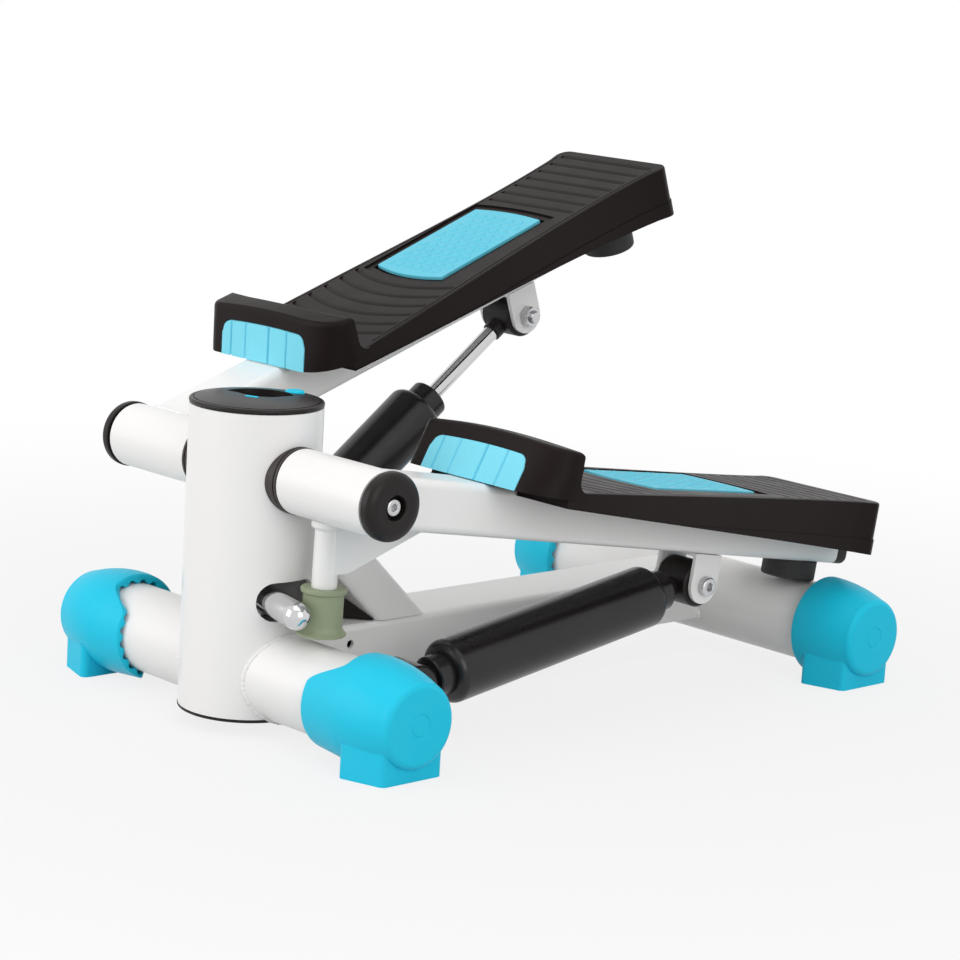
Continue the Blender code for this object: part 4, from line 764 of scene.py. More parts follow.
def socket_bolt(seat, tip, radius, head_radius, head_height, nut_at=None, steps=48):
    """A bolt along Z with a hexagon socket in its domed head, and a nut if it has one."""
    top = seat + head_height
    floor = top - 0.75 * head_height
    socket = radius / 2 + 0.0008
    edge = 0.3 * head_height
    rings = [[Vector((0, 0, floor))], hexagon(socket, floor, steps)]
    rings += [hexagon(socket, top - 0.0003, steps), hexagon(socket + 0.0004, top, steps)]
    for height, reach in arc((top - edge, head_radius - edge), edge, 0, 90, 5):
        rings.append(round_ring(reach, height, steps))
    rings += [round_ring(head_radius, seat, steps), round_ring(radius, seat, steps)]
    if nut_at is not None:
        nut_radius = 0.0070
        nut_end = nut_at - 0.0055
        rings += [round_ring(radius, nut_at, steps), hexagon(nut_radius, nut_at, steps)]
        rings.append(hexagon(nut_radius, nut_end + 0.0008, steps))
        rings.append(round_ring(nut_radius * 0.86, nut_end, steps))
        rings.append(round_ring(radius + 0.0003, nut_end, steps))
        rings.append(round_ring(radius - 0.0002, nut_end + 0.0004, steps))
    rings += [round_ring(radius - 0.0002, tip + 0.0006, steps), round_ring(radius - 0.0008, tip, steps)]
    rings += [[Vector((0, 0, tip))]]
    return loft(rings)


for side_name, side in sides.items():
    outward = Matrix.Rotation(side * math.pi / 2, 4, "Y")
    spacer_node = f"{side_name}_pivot_spacer"
    spacer_end = abs(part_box(spacer_node)[1 if side > 0 else 0].x)
    spacer_ends = sorted((side * column_radius / 2, side * spacer_end))
    spacer = blank(shifted(pipe(*spacer_ends, spacer_radius, spacer_wall), at_pivot))
    groove_ends = sorted(side * (spacer_end - inset) for inset in groove_insets)
    groove = pipe(*groove_ends, spacer_radius + groove_depth, spacer_radius - groove_depth)
    carve(spacer, upright(column_radius + fit_gap, 0.1, 0.2), shifted(groove, at_pivot))
    soften(spacer, 0.0006, 2, 50)
    plastic = moulded_black(f"{side_name}_spacer_plastic", (0.044, 0.037, 0.035))
    settle(spacer, f"{side_name}_spacer_ring", plastic, "frame", [spacer_node])
    cap_node = f"{side_name}_end_cap"
    cap_in, cap_out = sorted(abs(corner.x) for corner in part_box(cap_node))
    cap_hole = end_bolt["radius"] + fit_gap
    cap_profile = [(cap_in, cap_hole), (cap_in, cap_radius - cap_chamfer), (cap_in + cap_chamfer, cap_radius)]
    dome_start = cap_in + cap_side
    cap_profile.append((dome_start, cap_radius))
    for step in range(1, 11):
        share = step / 10
        cap_profile.append((
            dome_start + (cap_out - dome_start) * math.sin(share * math.pi / 2),
            cap_radius - cap_fall * (1 - math.cos(share * math.pi / 2)),
        ))
    cap_profile += [(cap_out, cap_pocket + 0.0006), (cap_out - 0.0006, cap_pocket)]
    cap_profile += [(cap_out - cap_pocket_depth, cap_pocket), (cap_out - cap_pocket_depth, cap_hole)]
    cap = blank(lathe(cap_profile, 96, closed=True))
    plastic = moulded_black(f"{side_name}_cap_plastic", roughness=0.34)
    settle(cap, f"{side_name}_cap", plastic, "frame", [cap_node], at_pivot @ outward)
    bolt_node = f"{side_name}_end_bolt"
    bolt_tip = min(abs(corner.x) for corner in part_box(bolt_node))
    bolt = blank(socket_bolt(cap_out - cap_pocket_depth + fit_gap, bolt_tip, **end_bolt))
    steel = zinc_steel(f"{side_name}_shaft_bolt_steel")
    settle(bolt, f"{side_name}_shaft_bolt", steel, "frame", [bolt_node], at_pivot @ outward)


# Rocker: a chrome bar through a steel hub. The hub turns on an upright pin that stands on
# a shelf inside the column, and the posts push the bar's ends in turn.

def chrome_plate(name):
    """Bright chrome with the faintest unevenness."""
    finish = Finish(name, (0.62, 0.62, 0.63), 0.08, 1.0)
    return finish.dress((0.05, 0.07, 90.0), (240.0, 1.0, 0.00001))


rocker_angle = math.radians(-16.0019)
rocker_radius = 0.0080
rocker_half = 0.0770
rocker_profile = arc((rocker_half - rocker_radius, 0), rocker_radius, 0, 90, 10)
rocker_profile = [(height, max(radius, 0.0)) for height, radius in rocker_profile]
rocker_profile[0] = (rocker_half, 0)
rocker_profile += [(-height, radius) for height, radius in reversed(rocker_profile)]
rocker_bar = blank(across(lathe(rocker_profile, 64)))
pin_room_radius = 0.0053
carve(rocker_bar, round_bar(pin_room_radius, -0.02, 0.02, 32))
at_rocker = Matrix.Translation((0, column_y, rocker_z)) @ Matrix.Rotation(rocker_angle, 4, "Z")
chrome = chrome_plate("rocker_chrome")
settle(rocker_bar, "chrome_rocker", chrome, "rocker", ["rocker_bar"], at_rocker)
for node, body, new_name in (
    ("rocker_hub", "rocker", "rocker_boss"), ("rocker_pin", "frame", "rocker_pivot_pin"),
    ("rocker_shelf", "frame", "rocker_shelf_plate"),
):
    settle_copy(node, 0.0003, new_name, zinc_steel(f"{node}_steel"), body)


# Pedal arms: each is a pivot tube with a square tube welded to it. A post under the pivot
# tube carries a khaki sleeve, and a bracket under the arm carries the damper.

low_angle = math.radians(-9.101)
swing = math.radians(joints["left_pedal"]["range_deg"][1])
arm_angles = {"left": low_angle, "right": low_angle + swing}
arm_x = 0.0862
arm_frames = {
    name: at_pivot @ Matrix.Rotation(angle, 4, "X") for name, angle in arm_angles.items()
}
arm_middles = {
    name: arm_frames[name] @ Matrix.Translation((side * arm_x, 0, 0)) for name, side in sides.items()
}
arm_width = 0.0380
arm_height = 0.0300
arm_wall = 0.0020
arm_corner = 0.0050
arm_end = 0.3960
plug_length = 0.0117
pivot_tube_radius = 0.0187
pivot_tube_wall = 0.0030
pivot_tube_in = 0.0426
pivot_tube_out = 0.1126
post_x = 0.0620
post_radius = 0.0073
post_offset = 0.0046300
post_tilt = math.radians(7.601)
sleeve_start = 0.0560
sleeve_end = 0.0830
sleeve_radius = 0.0115
sleeve_top = 0.0130
sleeve_foot = 0.0140
sleeve_flange = 0.0030
flare_length = 0.0045
plug_round = 0.0045
spigot_length = 0.014
bumper_radius = 0.0170
bumper_at = 0.3740
bumper_bottom = -0.02773


def khaki_plastic(name):
    """The slippery sleeve: plain matt nylon, a little rubbed."""
    finish = Finish(name, (0.285, 0.330, 0.205), 0.46)
    return finish.dress((0.38, 0.18, 60.0), (900.0, 2.0, 0.00003), ((0.22, 0.26, 0.16), 0.8, 35.0, 2))


def black_rubber(name):
    """Matt solid rubber."""
    finish = Finish(name, (0.016, 0.015, 0.015), 0.70)
    return finish.dress((0.60, 0.20, 80.0), (1100.0, 3.0, 0.00008))


def square_ring(width, height, corner, along):
    """A ring of a square tube about Y."""
    return [Vector((a, along, b)) for a, b in rounded_block(width, height, corner)]


for side_name, side in sides.items():
    arm = arm_frames[side_name]
    middle = arm_middles[side_name]
    body = f"{side_name}_arm"
    paint = white_paint(f"{side_name}_arm_paint")
    ends = sorted((side * pivot_tube_in, side * pivot_tube_out))
    knuckle = soften(blank(pipe(ends[0], ends[1], pivot_tube_radius, pivot_tube_wall)), 0.0005, 2, 60)
    settle(knuckle, f"{side_name}_knuckle", paint, body, [f"{side_name}_pivot_tube"], arm)
    nylon = moulded_black(f"{side_name}_bearing_nylon")
    settle_copy(f"{side_name}_pivot_bush", 0.0002, f"{side_name}_bearing", nylon, body)
    inner = (arm_width - 2 * arm_wall, arm_height - 2 * arm_wall, arm_corner - arm_wall / 2)
    outer = (arm_width, arm_height, arm_corner)
    tube = blank(loft([
        square_ring(*inner, pivot_tube_radius / 3), square_ring(*outer, pivot_tube_radius / 3),
        square_ring(*outer, arm_end), square_ring(*inner, arm_end),
    ], closed=True))
    tube.data.transform(Matrix.Translation((side * arm_x, 0, 0)))
    carve(tube, across(round_bar(pivot_tube_radius + fit_gap, -0.2, 0.2)))
    settle(tube, f"{side_name}_arm_steel", paint, body, [f"{side_name}_arm_tube"], arm)
    arm_seam = beam_seam(rounded_block(*outer), lambda a, b: hug(pivot_tube_radius, b))
    weld_beads(f"{side_name}_arm_welds", [arm_seam], paint, body, middle)
    settle_copy(f"{side_name}_post", 0.0004, f"{side_name}_push_post", paint, body)
    edge = 0.0008
    waist = sleeve_start + sleeve_flange
    sleeve_profile = [(sleeve_start, post_radius + fit_gap)]
    sleeve_profile += arc((sleeve_start + edge, sleeve_top - edge), edge, 180, 90, 4)
    sleeve_profile += arc((waist - edge, sleeve_top - edge), edge, 90, 30, 3)
    sleeve_profile += [(waist, sleeve_radius + 0.0003), (waist + 0.0004, sleeve_radius)]
    flare = sleeve_end - 0.0060
    for step in range(9):
        share = step / 8
        spread = (sleeve_foot - sleeve_radius) * share ** 2
        sleeve_profile.append((flare + flare_length * share, sleeve_radius + spread))
    sleeve_profile += [(sleeve_end - 0.0006, sleeve_foot), (sleeve_end, sleeve_foot - 0.0006)]
    sleeve_profile += [(sleeve_end, post_radius + fit_gap)]
    sleeve = blank(lathe(sleeve_profile, 64, closed=True))
    down_post = Matrix.Translation((
        side * post_x, post_offset * math.cos(post_tilt), post_offset * math.sin(post_tilt)
    )) @ Matrix.Rotation(math.pi + post_tilt, 4, "X")
    nylon = khaki_plastic(f"{side_name}_sleeve_nylon")
    sleeve_node = f"{side_name}_post_sleeve"
    settle(sleeve, f"{side_name}_slide_sleeve", nylon, body, [sleeve_node], arm @ down_post)
    plug_start = arm_end + fit_gap
    spigot = (inner[0] - 0.0006, inner[1] - 0.0006, inner[2])
    plug_shoulder = plug_start + plug_length - plug_round
    rings = [square_ring(*spigot, arm_end - spigot_length), square_ring(*spigot, plug_start)]
    rings += [square_ring(*outer, plug_start), square_ring(*outer, plug_shoulder)]
    for step in range(1, 7):
        turn = math.pi / 2 * step / 6
        inset = plug_round * (1 - math.cos(turn))
        corner = max(arm_corner - 0.3 * inset, 0.002)
        along = plug_shoulder + plug_round * math.sin(turn)
        rings.append(square_ring(arm_width - 2 * inset, arm_height - 2 * inset, corner, along))
    plug = blank(loft(rings))
    plastic = moulded_black(f"{side_name}_plug_plastic")
    plug_node = f"{side_name}_arm_end_plug"
    settle(plug, f"{side_name}_tube_plug", plastic, body, [plug_node], middle)
    edge = 0.0018
    bumper_profile = [(-arm_height / 2 - fit_gap, 0), (-arm_height / 2 - fit_gap, bumper_radius)]
    bumper_profile += arc((bumper_bottom + edge, bumper_radius - edge), edge, 90, 180, 5)
    bumper_profile.append((bumper_bottom, 0))
    bumper = blank(lathe(bumper_profile, 96))
    rubber = black_rubber(f"{side_name}_bumper_rubber")
    place = middle @ Matrix.Translation((0, bumper_at, 0))
    settle(bumper, f"{side_name}_stop_bumper", rubber, body, [f"{side_name}_bumper"], place)
    settle_copy(f"{side_name}_arm_bracket", 0.0006, f"{side_name}_damper_hanger", paint, body)


# Dampers: a black cylinder on an eye behind the front tube, and a chrome rod that runs up
# to a bush between the arm's ears. A bolt with a nut goes through each pair of ears.

def satin_black(name):
    """Satin black paint on steel, with a few faint marks."""
    finish = Finish(name, (0.010, 0.008, 0.009), 0.28, specular=0.4)
    return finish.dress((0.20, 0.16, 22.0), (500.0, 2.0, 0.00003), ((0.030, 0.028, 0.028), 0.6, 55.0, 3))


ear_outer = 0.0157
upper_along = 0.2797
upper_drop = 0.0344
eye_radius = 0.0155
eye_half = 0.0124
cylinder_radius = 0.0188
cylinder_start = 0.0285
cylinder_end = 0.1960
cylinder_shoulder = 0.0055
cylinder_neck = 0.0125
neck_length = 0.0115
stem_start = 0.004
stem_radius = 0.0080
bolt_tail = 0.0083
bush_play = 0.0030
bore_radius = 0.0158
bore_insets = (0.0120, 0.0060)
rod_radius = 0.0050
piston_at = 0.0700
piston_length = 0.0120
closed_reach = Vector(joints["left_damper_stroke"]["pos_m"]) - Vector(joints["left_damper_tilt"]["pos_m"])
closed_length = closed_reach.length
upper_bush_radius = 0.0140
shank_radius = 0.0062
shank_length = 0.0205


def eye(radius, edge=0.0012):
    """A round eye across the damper, its rims cut at a slant."""
    profile = [(-eye_half, 0), (-eye_half, radius - edge), (-eye_half + edge, radius)]
    profile += [(eye_half - edge, radius), (eye_half, radius - edge), (eye_half, 0)]
    return across(lathe(profile, 96))


for side_name, side in sides.items():
    stroke = joints[f"{side_name}_damper_stroke"]
    foot_point = Vector(joints[f"{side_name}_damper_tilt"]["pos_m"])
    direction = Vector(stroke["axis"])
    length = (Vector(stroke["pos_m"]) - foot_point).length
    slope = math.atan2(direction.z, direction.y)
    along_damper = Matrix.Translation(foot_point) @ Matrix.Rotation(slope, 4, "X")
    upward = Matrix.Rotation(-math.pi / 2, 4, "X")
    paint = satin_black(f"{side_name}_damper_paint")
    neck_end = cylinder_end + neck_length
    stem_end = cylinder_start - 0.0100
    profile = [(stem_start, 0), (stem_start, stem_radius), (stem_end, stem_radius)]
    profile.append((stem_end, cylinder_neck - 0.0008))
    profile += [(cylinder_start - 0.0092, cylinder_neck), (cylinder_start, cylinder_neck)]
    shoulder_middle = cylinder_radius - cylinder_shoulder
    profile += arc((cylinder_start + cylinder_shoulder, shoulder_middle), cylinder_shoulder, 180, 90, 8)
    profile += arc((cylinder_end - cylinder_shoulder, shoulder_middle), cylinder_shoulder, 90, 0, 8)
    profile += [(cylinder_end, cylinder_neck), (neck_end - 0.0018, cylinder_neck)]
    profile += arc((neck_end - 0.0018, cylinder_neck - 0.0018), 0.0018, 90, 0, 5)
    profile += [(neck_end, rod_radius + 0.0010), (neck_end - 0.0006, rod_radius + 0.0003)]
    bore_start, bore_end = cylinder_start + bore_insets[0], cylinder_end - bore_insets[1]
    profile += [(bore_end, rod_radius + fit_gap), (bore_end, bore_radius)]
    profile += [(bore_start, bore_radius), (bore_start, 0)]
    cylinder = blank(shifted(lathe(profile, 96), upward))
    carve(cylinder, eye(eye_radius), operation="UNION")
    hole = eye_bolt["radius"] + fit_gap
    carve(cylinder, across(round_bar(hole, -0.03, 0.03, 48)))
    settle(
        cylinder, f"{side_name}_damper_body", paint, f"{side_name}_cylinder",
        [f"{side_name}_damper_cylinder"], along_damper,
    )
    piston_start = piston_at + length - closed_length
    piston_end = piston_start + piston_length
    rod_end = length - shank_length - fit_gap
    piston_radius = bore_radius - fit_gap
    rod_profile = [(piston_start, 0), (piston_start, piston_radius), (piston_end, piston_radius)]
    rod_profile += [(piston_end, rod_radius), (rod_end, rod_radius), (rod_end, 0)]
    rod = blank(shifted(lathe(rod_profile), upward))
    chrome = chrome_plate(f"{side_name}_rod_chrome")
    body = f"{side_name}_rod"
    settle(rod, f"{side_name}_chrome_rod", chrome, body, [f"{side_name}_damper_rod"], along_damper)
    bush = blank(eye(upper_bush_radius))
    shank = [(0.005, 0), (0.005, shank_radius), (shank_length - 0.0006, shank_radius)]
    shank += [(shank_length, shank_radius - 0.0006), (shank_length, 0)]
    down = Matrix.Rotation(math.pi / 2, 4, "X")
    carve(bush, shifted(lathe(shank, 64), down), operation="UNION")
    wide_hole = eye_bolt["radius"] + bush_play
    carve(bush, across(round_bar(wide_hole, -0.03, 0.03, 48)))
    rubber = moulded_black(f"{side_name}_rod_end_rubber")
    place = along_damper @ Matrix.Translation((0, length, 0))
    settle(bush, f"{side_name}_rod_end", rubber, body, [f"{side_name}_rod_bush"], place)
    paint = satin_black(f"{side_name}_lug_paint")
    settle_copy(f"{side_name}_damper_lug", 0.0006, f"{side_name}_lug_plates", paint, "frame")
    outward = Matrix.Rotation(side * math.pi / 2, 4, "Y")
    hanger = arm_middles[side_name] @ Matrix.Translation((0, upper_along, -upper_drop))
    for node, where, body in (
        ("upper_bolt", hanger, f"{side_name}_arm"), ("lower_bolt", Matrix.Translation(foot_point), "frame"),
    ):
        seat = ear_outer + fit_gap
        bolt = blank(socket_bolt(seat, -ear_outer - bolt_tail, **eye_bolt, nut_at=-seat))
        settle(
            bolt, f"{side_name}_{node}_steel", zinc_steel(f"{side_name}_{node}_zinc"), body,
            [f"{side_name}_{node}"], where @ outward,
        )


# Footplates: one dark moulding for both sides. It has a ribbed tread with a border round
# the cyan pad, a skirt, webs under it, and a raised toe stop with a cyan panel.

plate_front = 0.0820
plate_rear = 0.3928
plate_shift = 0.0035
plate_half = (0.0580, 0.0495)
plate_waist = 0.0060
plate_top_level = (0.0190, 0.0303)
plate_rim_level = (0.0118, -0.0030)
plate_skin = 0.0042
plate_wall = 0.0030
plate_edge = 0.0015
plate_corner = 0.0090
plate_from = 0.1035
skirt_step = 0.0006
skirt_line_drop = 0.0187
skirt_line_slope = 0.032
skirt_line_from = 0.25
toe_low = arm_height / 2 + 0.0006
toe_top = 0.0455
toe_crown = 0.0030
toe_lean = 0.0110
toe_sharp = 0.0090
toe_wide = 0.0265
toe_back = (0.1055, 0.1110)
toe_fillet = 0.0070
panel_span = (-0.0390, 0.0385)
panel_top = 0.0365
panel_corner = 0.0070
panel_thickness = 0.0025
panel_grooves = (0.11, 0.29, 0.57, 0.79)
panel_groove = ((-0.0011, 0.0), (-0.0006, 0.0009), (0.0, 0.0012), (0.0006, 0.0009), (0.0011, 0.0))
tread_middle = Vector((-0.0020, 0.2505))
tread_size = (0.0600, 0.0950)
tread_bows = (0.0050, 0.0025)
tread_thickness = 0.0022
tread_border = 0.0065
border_depth = 0.0012
moat_width = 0.0022
moat_depth = 0.0031
rib_depth = 0.0012
rib_edge = 0.0072
rib_margin = 0.0060
rib_bow = 0.0100
lip_inset = 0.0046
lip_start = 0.1240
lip_end_gap = 0.0120
front_ribs = 6
rear_ribs = 7
web_count = 4


def along_plate(pair, along):
    """A size that changes evenly from the toe to the heel."""
    share = (along - plate_front) / (plate_rear - plate_front)
    return pair[0] + (pair[1] - pair[0]) * share


def half_at(along):
    """Half the footplate's width. It has a slight waist towards the heel."""
    share = (along - plate_front) / (plate_rear - plate_front)
    return along_plate(plate_half, along) - plate_waist * 4 * share ** 2 * (1 - share ** 2)


def plate_outline(inset):
    """The footplate in plan, without its toe stop."""
    front = plate_from + inset
    rear = plate_rear - inset
    corner = plate_corner - inset
    heel = half_at(plate_rear) - inset
    steps = 32
    flank = []
    for step in range(steps):
        along = front + (rear - corner - front) * step / steps
        flank.append((half_at(along) - inset, along))
    outline = flank + arc((heel - corner, rear - corner), corner, 0, 90, 8)
    outline += arc((-heel + corner, rear - corner), corner, 90, 180, 8)
    outline += [(-place, along) for place, along in reversed(flank)]
    return [(place + plate_shift, along) for place, along in outline]


def plate_ring(inset, level):
    """The outline at a level, which is a rule of the place along the plate."""
    return [Vector((a, b, level(b))) for a, b in plate_outline(inset + 0.0003)]


def tread_level(along):
    """Height of the tread above the arm's axis."""
    return along_plate(plate_top_level, along)


def rim_level(along):
    """Height of the skirt's lower edge above the arm's axis."""
    return along_plate(plate_rim_level, along)


def skirt_line(along):
    """The line on the skirt below which it stands out a little."""
    line = tread_level(along) - skirt_line_drop - skirt_line_slope * (along - skirt_line_from)
    return max(rim_level(along) + 0.0005, line)


toe_half = half_at(plate_from)


def toe_outline(inset, shift):
    """The toe stop in plan: straight front, one wide corner and a hollow back."""
    half = toe_half - inset
    front = plate_front + inset
    sharp = toe_sharp - inset
    wide = toe_wide - inset
    outline = arc((-half + sharp, front + sharp), sharp, 180, 270, 8)
    straight = 2 * half - sharp - wide
    outline += [(-half + sharp + straight * step / 16, front) for step in range(1, 16)]
    outline += arc((half - wide, front + wide), wide, 270, 360, 16)
    steps = 24
    for step in range(steps + 1):
        place = half * (1 - 2 * step / steps)
        back = toe_back[0] + (toe_back[1] - toe_back[0]) * (place / half) ** 2
        outline.append((place, back + shift - inset))
    return [(place + plate_shift, along) for place, along in outline]


def crown(place):
    """How far the toe stop's top falls away from its middle."""
    return toe_crown * ((place - plate_shift) / toe_half) ** 2


def toe_leaning(level):
    """How far the toe stop's front leans back at a height."""
    return toe_lean * (level - arm_height / 2) / (toe_top - arm_height / 2)


def toe_ring(inset, shift, level):
    """The toe stop's outline at a height, its front leaning back and its ends lower."""
    depth = toe_back[0] - plate_front
    foot = tread_level(toe_back[1])
    drop = max(0.0, (level - foot) / (toe_top - foot))
    ring = []
    for place, along in toe_outline(inset, shift):
        share = max(0.0, 1 - (along - plate_front) / depth)
        ring.append(Vector((place, along + toe_leaning(level) * share, level - crown(place) * drop)))
    return ring


def toe_face(place):
    """Where the toe stop's front lies across the footplate."""
    place -= plate_shift
    if place > toe_half - toe_wide:
        bend = min(place - toe_half + toe_wide, toe_wide)
        return plate_front + toe_wide - math.sqrt(toe_wide ** 2 - bend ** 2)
    if place < -toe_half + toe_sharp:
        bend = min(-toe_half + toe_sharp - place, toe_sharp)
        return plate_front + toe_sharp - math.sqrt(toe_sharp ** 2 - bend ** 2)
    return plate_front


def toe_panel(front_shift, thickness, grow, drop, grooves):
    """The cyan panel, or the room for it, as slices across the toe stop."""
    left, right = panel_span[0] - grow, panel_span[1] + grow
    places = {left + (right - left) * step / 40: 0.0 for step in range(41)}
    for share in grooves:
        middle = left + share * (right - left)
        for off, depth in panel_groove:
            places[middle + off] = depth
    rings = []
    for place in sorted(places):
        corner = max(0.0, panel_corner - min(place - left, right - place))
        round_off = panel_corner - math.sqrt(max(panel_corner ** 2 - corner ** 2, 0.0))
        low = toe_low - drop
        high = panel_top + grow - round_off - crown(place)
        ring = []
        for back, level in ((0, low), (0, high), (1, high), (1, low)):
            shift = thickness if back else front_shift + places[place]
            ring.append(Vector((place, toe_face(place) + toe_leaning(level) + shift, level)))
        rings.append(ring)
    return loft(rings)


def tread_slab(grow, low, high):
    """A slab that follows the tread's slope: straight sides and bowed ends."""
    half = tread_size[0] / 2 + grow
    reach = tread_size[1] / 2 + grow
    outline = []
    for end, bow in zip((-1, 1), tread_bows):
        for step in range(17):
            place = half * (step / 8 - 1) * -end
            bowed = reach - bow * (place / half) ** 2
            outline.append((tread_middle.x + place, tread_middle.y + end * bowed))
    return loft([[Vector((a, b, tread_level(b) + level)) for a, b in outline] for level in (low, high)])


def tread_groove(middle, bow):
    """One louvre in the tread: a steep wall at the toe side and a long slope behind it."""
    half = half_at(middle) - rib_edge
    section = (
        (-0.0008, 0.0040), (-0.0008, 0.0), (-0.0004, -0.9), (0.0001, -1.0), (0.0034, 0.0), (0.0034, 0.0040),
    )
    rings = []
    for step in range(17):
        place = half * (step / 8 - 1)
        along = middle + bow * (place / half) ** 2
        ring = []
        for off, rise in section:
            height = rise * rib_depth if rise < 0 else rise + 0.00005
            ring.append(Vector((plate_shift + place, along + off, tread_level(along + off) + height)))
        rings.append(ring)
    return loft(rings)


def lip_groove(side):
    """The fine line that runs inside the tread's side edge."""
    rings = []
    for step in range(25):
        along = lip_start + (plate_rear - lip_end_gap - lip_start) * step / 24
        place = plate_shift + side * (half_at(along) - lip_inset)
        ring = []
        for off, level in ((-0.0004, -0.0005), (0.0004, -0.0005), (0.0004, 0.001), (-0.0004, 0.001)):
            ring.append(Vector((place + off, along, tread_level(along) + level)))
        rings.append(ring)
    return loft(rings)


def under_rooms():
    """The rooms under the tread, which leave webs across the footplate."""
    start = toe_back[1] + toe_fillet
    pitch = (plate_rear - start) / (web_count + 1)
    rooms = []
    for index in range(web_count + 1):
        near = start + pitch * index
        far = near + pitch - plate_wall
        rings = []
        for top in (False, True):
            ring = []
            for side, along in ((-1, near), (1, near), (1, far), (-1, far)):
                place = plate_shift + side * (half_at(along) - plate_wall)
                level = tread_level(along) - plate_skin if top else plate_rim_level[1] - 0.01
                ring.append(Vector((place, along, level)))
            rings.append(ring)
        rooms.append(loft(rings))
    return rooms


def groove_places():
    """Each groove's place along the tread, and its bow."""
    pad_front = tread_middle.y - tread_size[1] / 2 - tread_border
    pad_rear = tread_middle.y + tread_size[1] / 2 + tread_border
    front_start = toe_back[1] + toe_fillet + rib_margin
    front_end = pad_front - rib_margin - 0.0030
    rear_start = pad_rear + rib_margin
    rear_end = plate_rear - 2 * rib_margin
    places = []
    rows = ((front_start, front_end, front_ribs, rib_bow), (rear_start, rear_end, rear_ribs, 0.0))
    for start, end, count, bow in rows:
        places += [(start + (end - start) * index / (count - 1), bow) for index in range(count)]
    return places


def footplate_plastic(name):
    """Brownish black plastic with a fine leather-like grain and satin edges."""
    finish = Finish(name, (0.0105, 0.0065, 0.0065), 0.38, specular=0.08)
    return finish.dress((0.31, 0.15, 45.0), (1400.0, 3.0, 0.00006), ((0.019, 0.013, 0.012), 0.7, 16.0, 2))


def tread_rubber(name):
    """Softer cyan pad, matt, a little paler than the hard plastic."""
    finish = Finish(name, (0.110, 0.560, 0.720), 0.55, specular=0.35)
    return finish.dress((0.48, 0.16, 50.0), (1300.0, 2.0, 0.00004), ((0.20, 0.64, 0.78), 0.6, 20.0, 2))


def dome_field(name, finish):
    """Rows of low staggered domes, by Geometry Nodes, on a flat pad at z = 0."""
    field = Growth(
        "pad_domes", Pitch="Float", Rows="Int", Columns="Int", Radius="Float", Height="Float",
        Material="Material",
    )
    pitch, rows, columns, radius, height, _ = field.given.values()
    line = field.node("GeometryNodeMeshLine", Count=rows * columns)
    index = field.node("GeometryNodeInputIndex")
    rows_before = (index + 0.5) / columns
    row = rows_before.math("FLOOR", rows_before)
    column = index - row * columns
    stagger = row.math("MODULO", row, 2.0) - 0.5
    across_pad = (column - (columns - 1.0) / 2.0 + stagger * 0.5) * pitch
    along_pad = (row - (rows - 1.0) / 2.0) * pitch * 0.866
    spot = field.node("ShaderNodeCombineXYZ", _0=across_pad, _1=along_pad)
    put = field.node("GeometryNodeSetPosition", Geometry=line, Position=spot)
    ball = field.node("GeometryNodeMeshUVSphere", Segments=24, Rings=12, Radius=radius)
    flat = field.node("ShaderNodeCombineXYZ", _0=1.0, _1=1.0, _2=height / radius)
    squash = field.node("GeometryNodeTransform", Geometry=ball, Scale=flat)
    repeat = field.node("GeometryNodeInstanceOnPoints", Points=put, Instance=squash)
    return field.grow(
        blank(bmesh.new(), name), repeat,
        Pitch=0.0085, Rows=11, Columns=6, Radius=0.0030, Height=0.0009, Material=finish.material,
    )


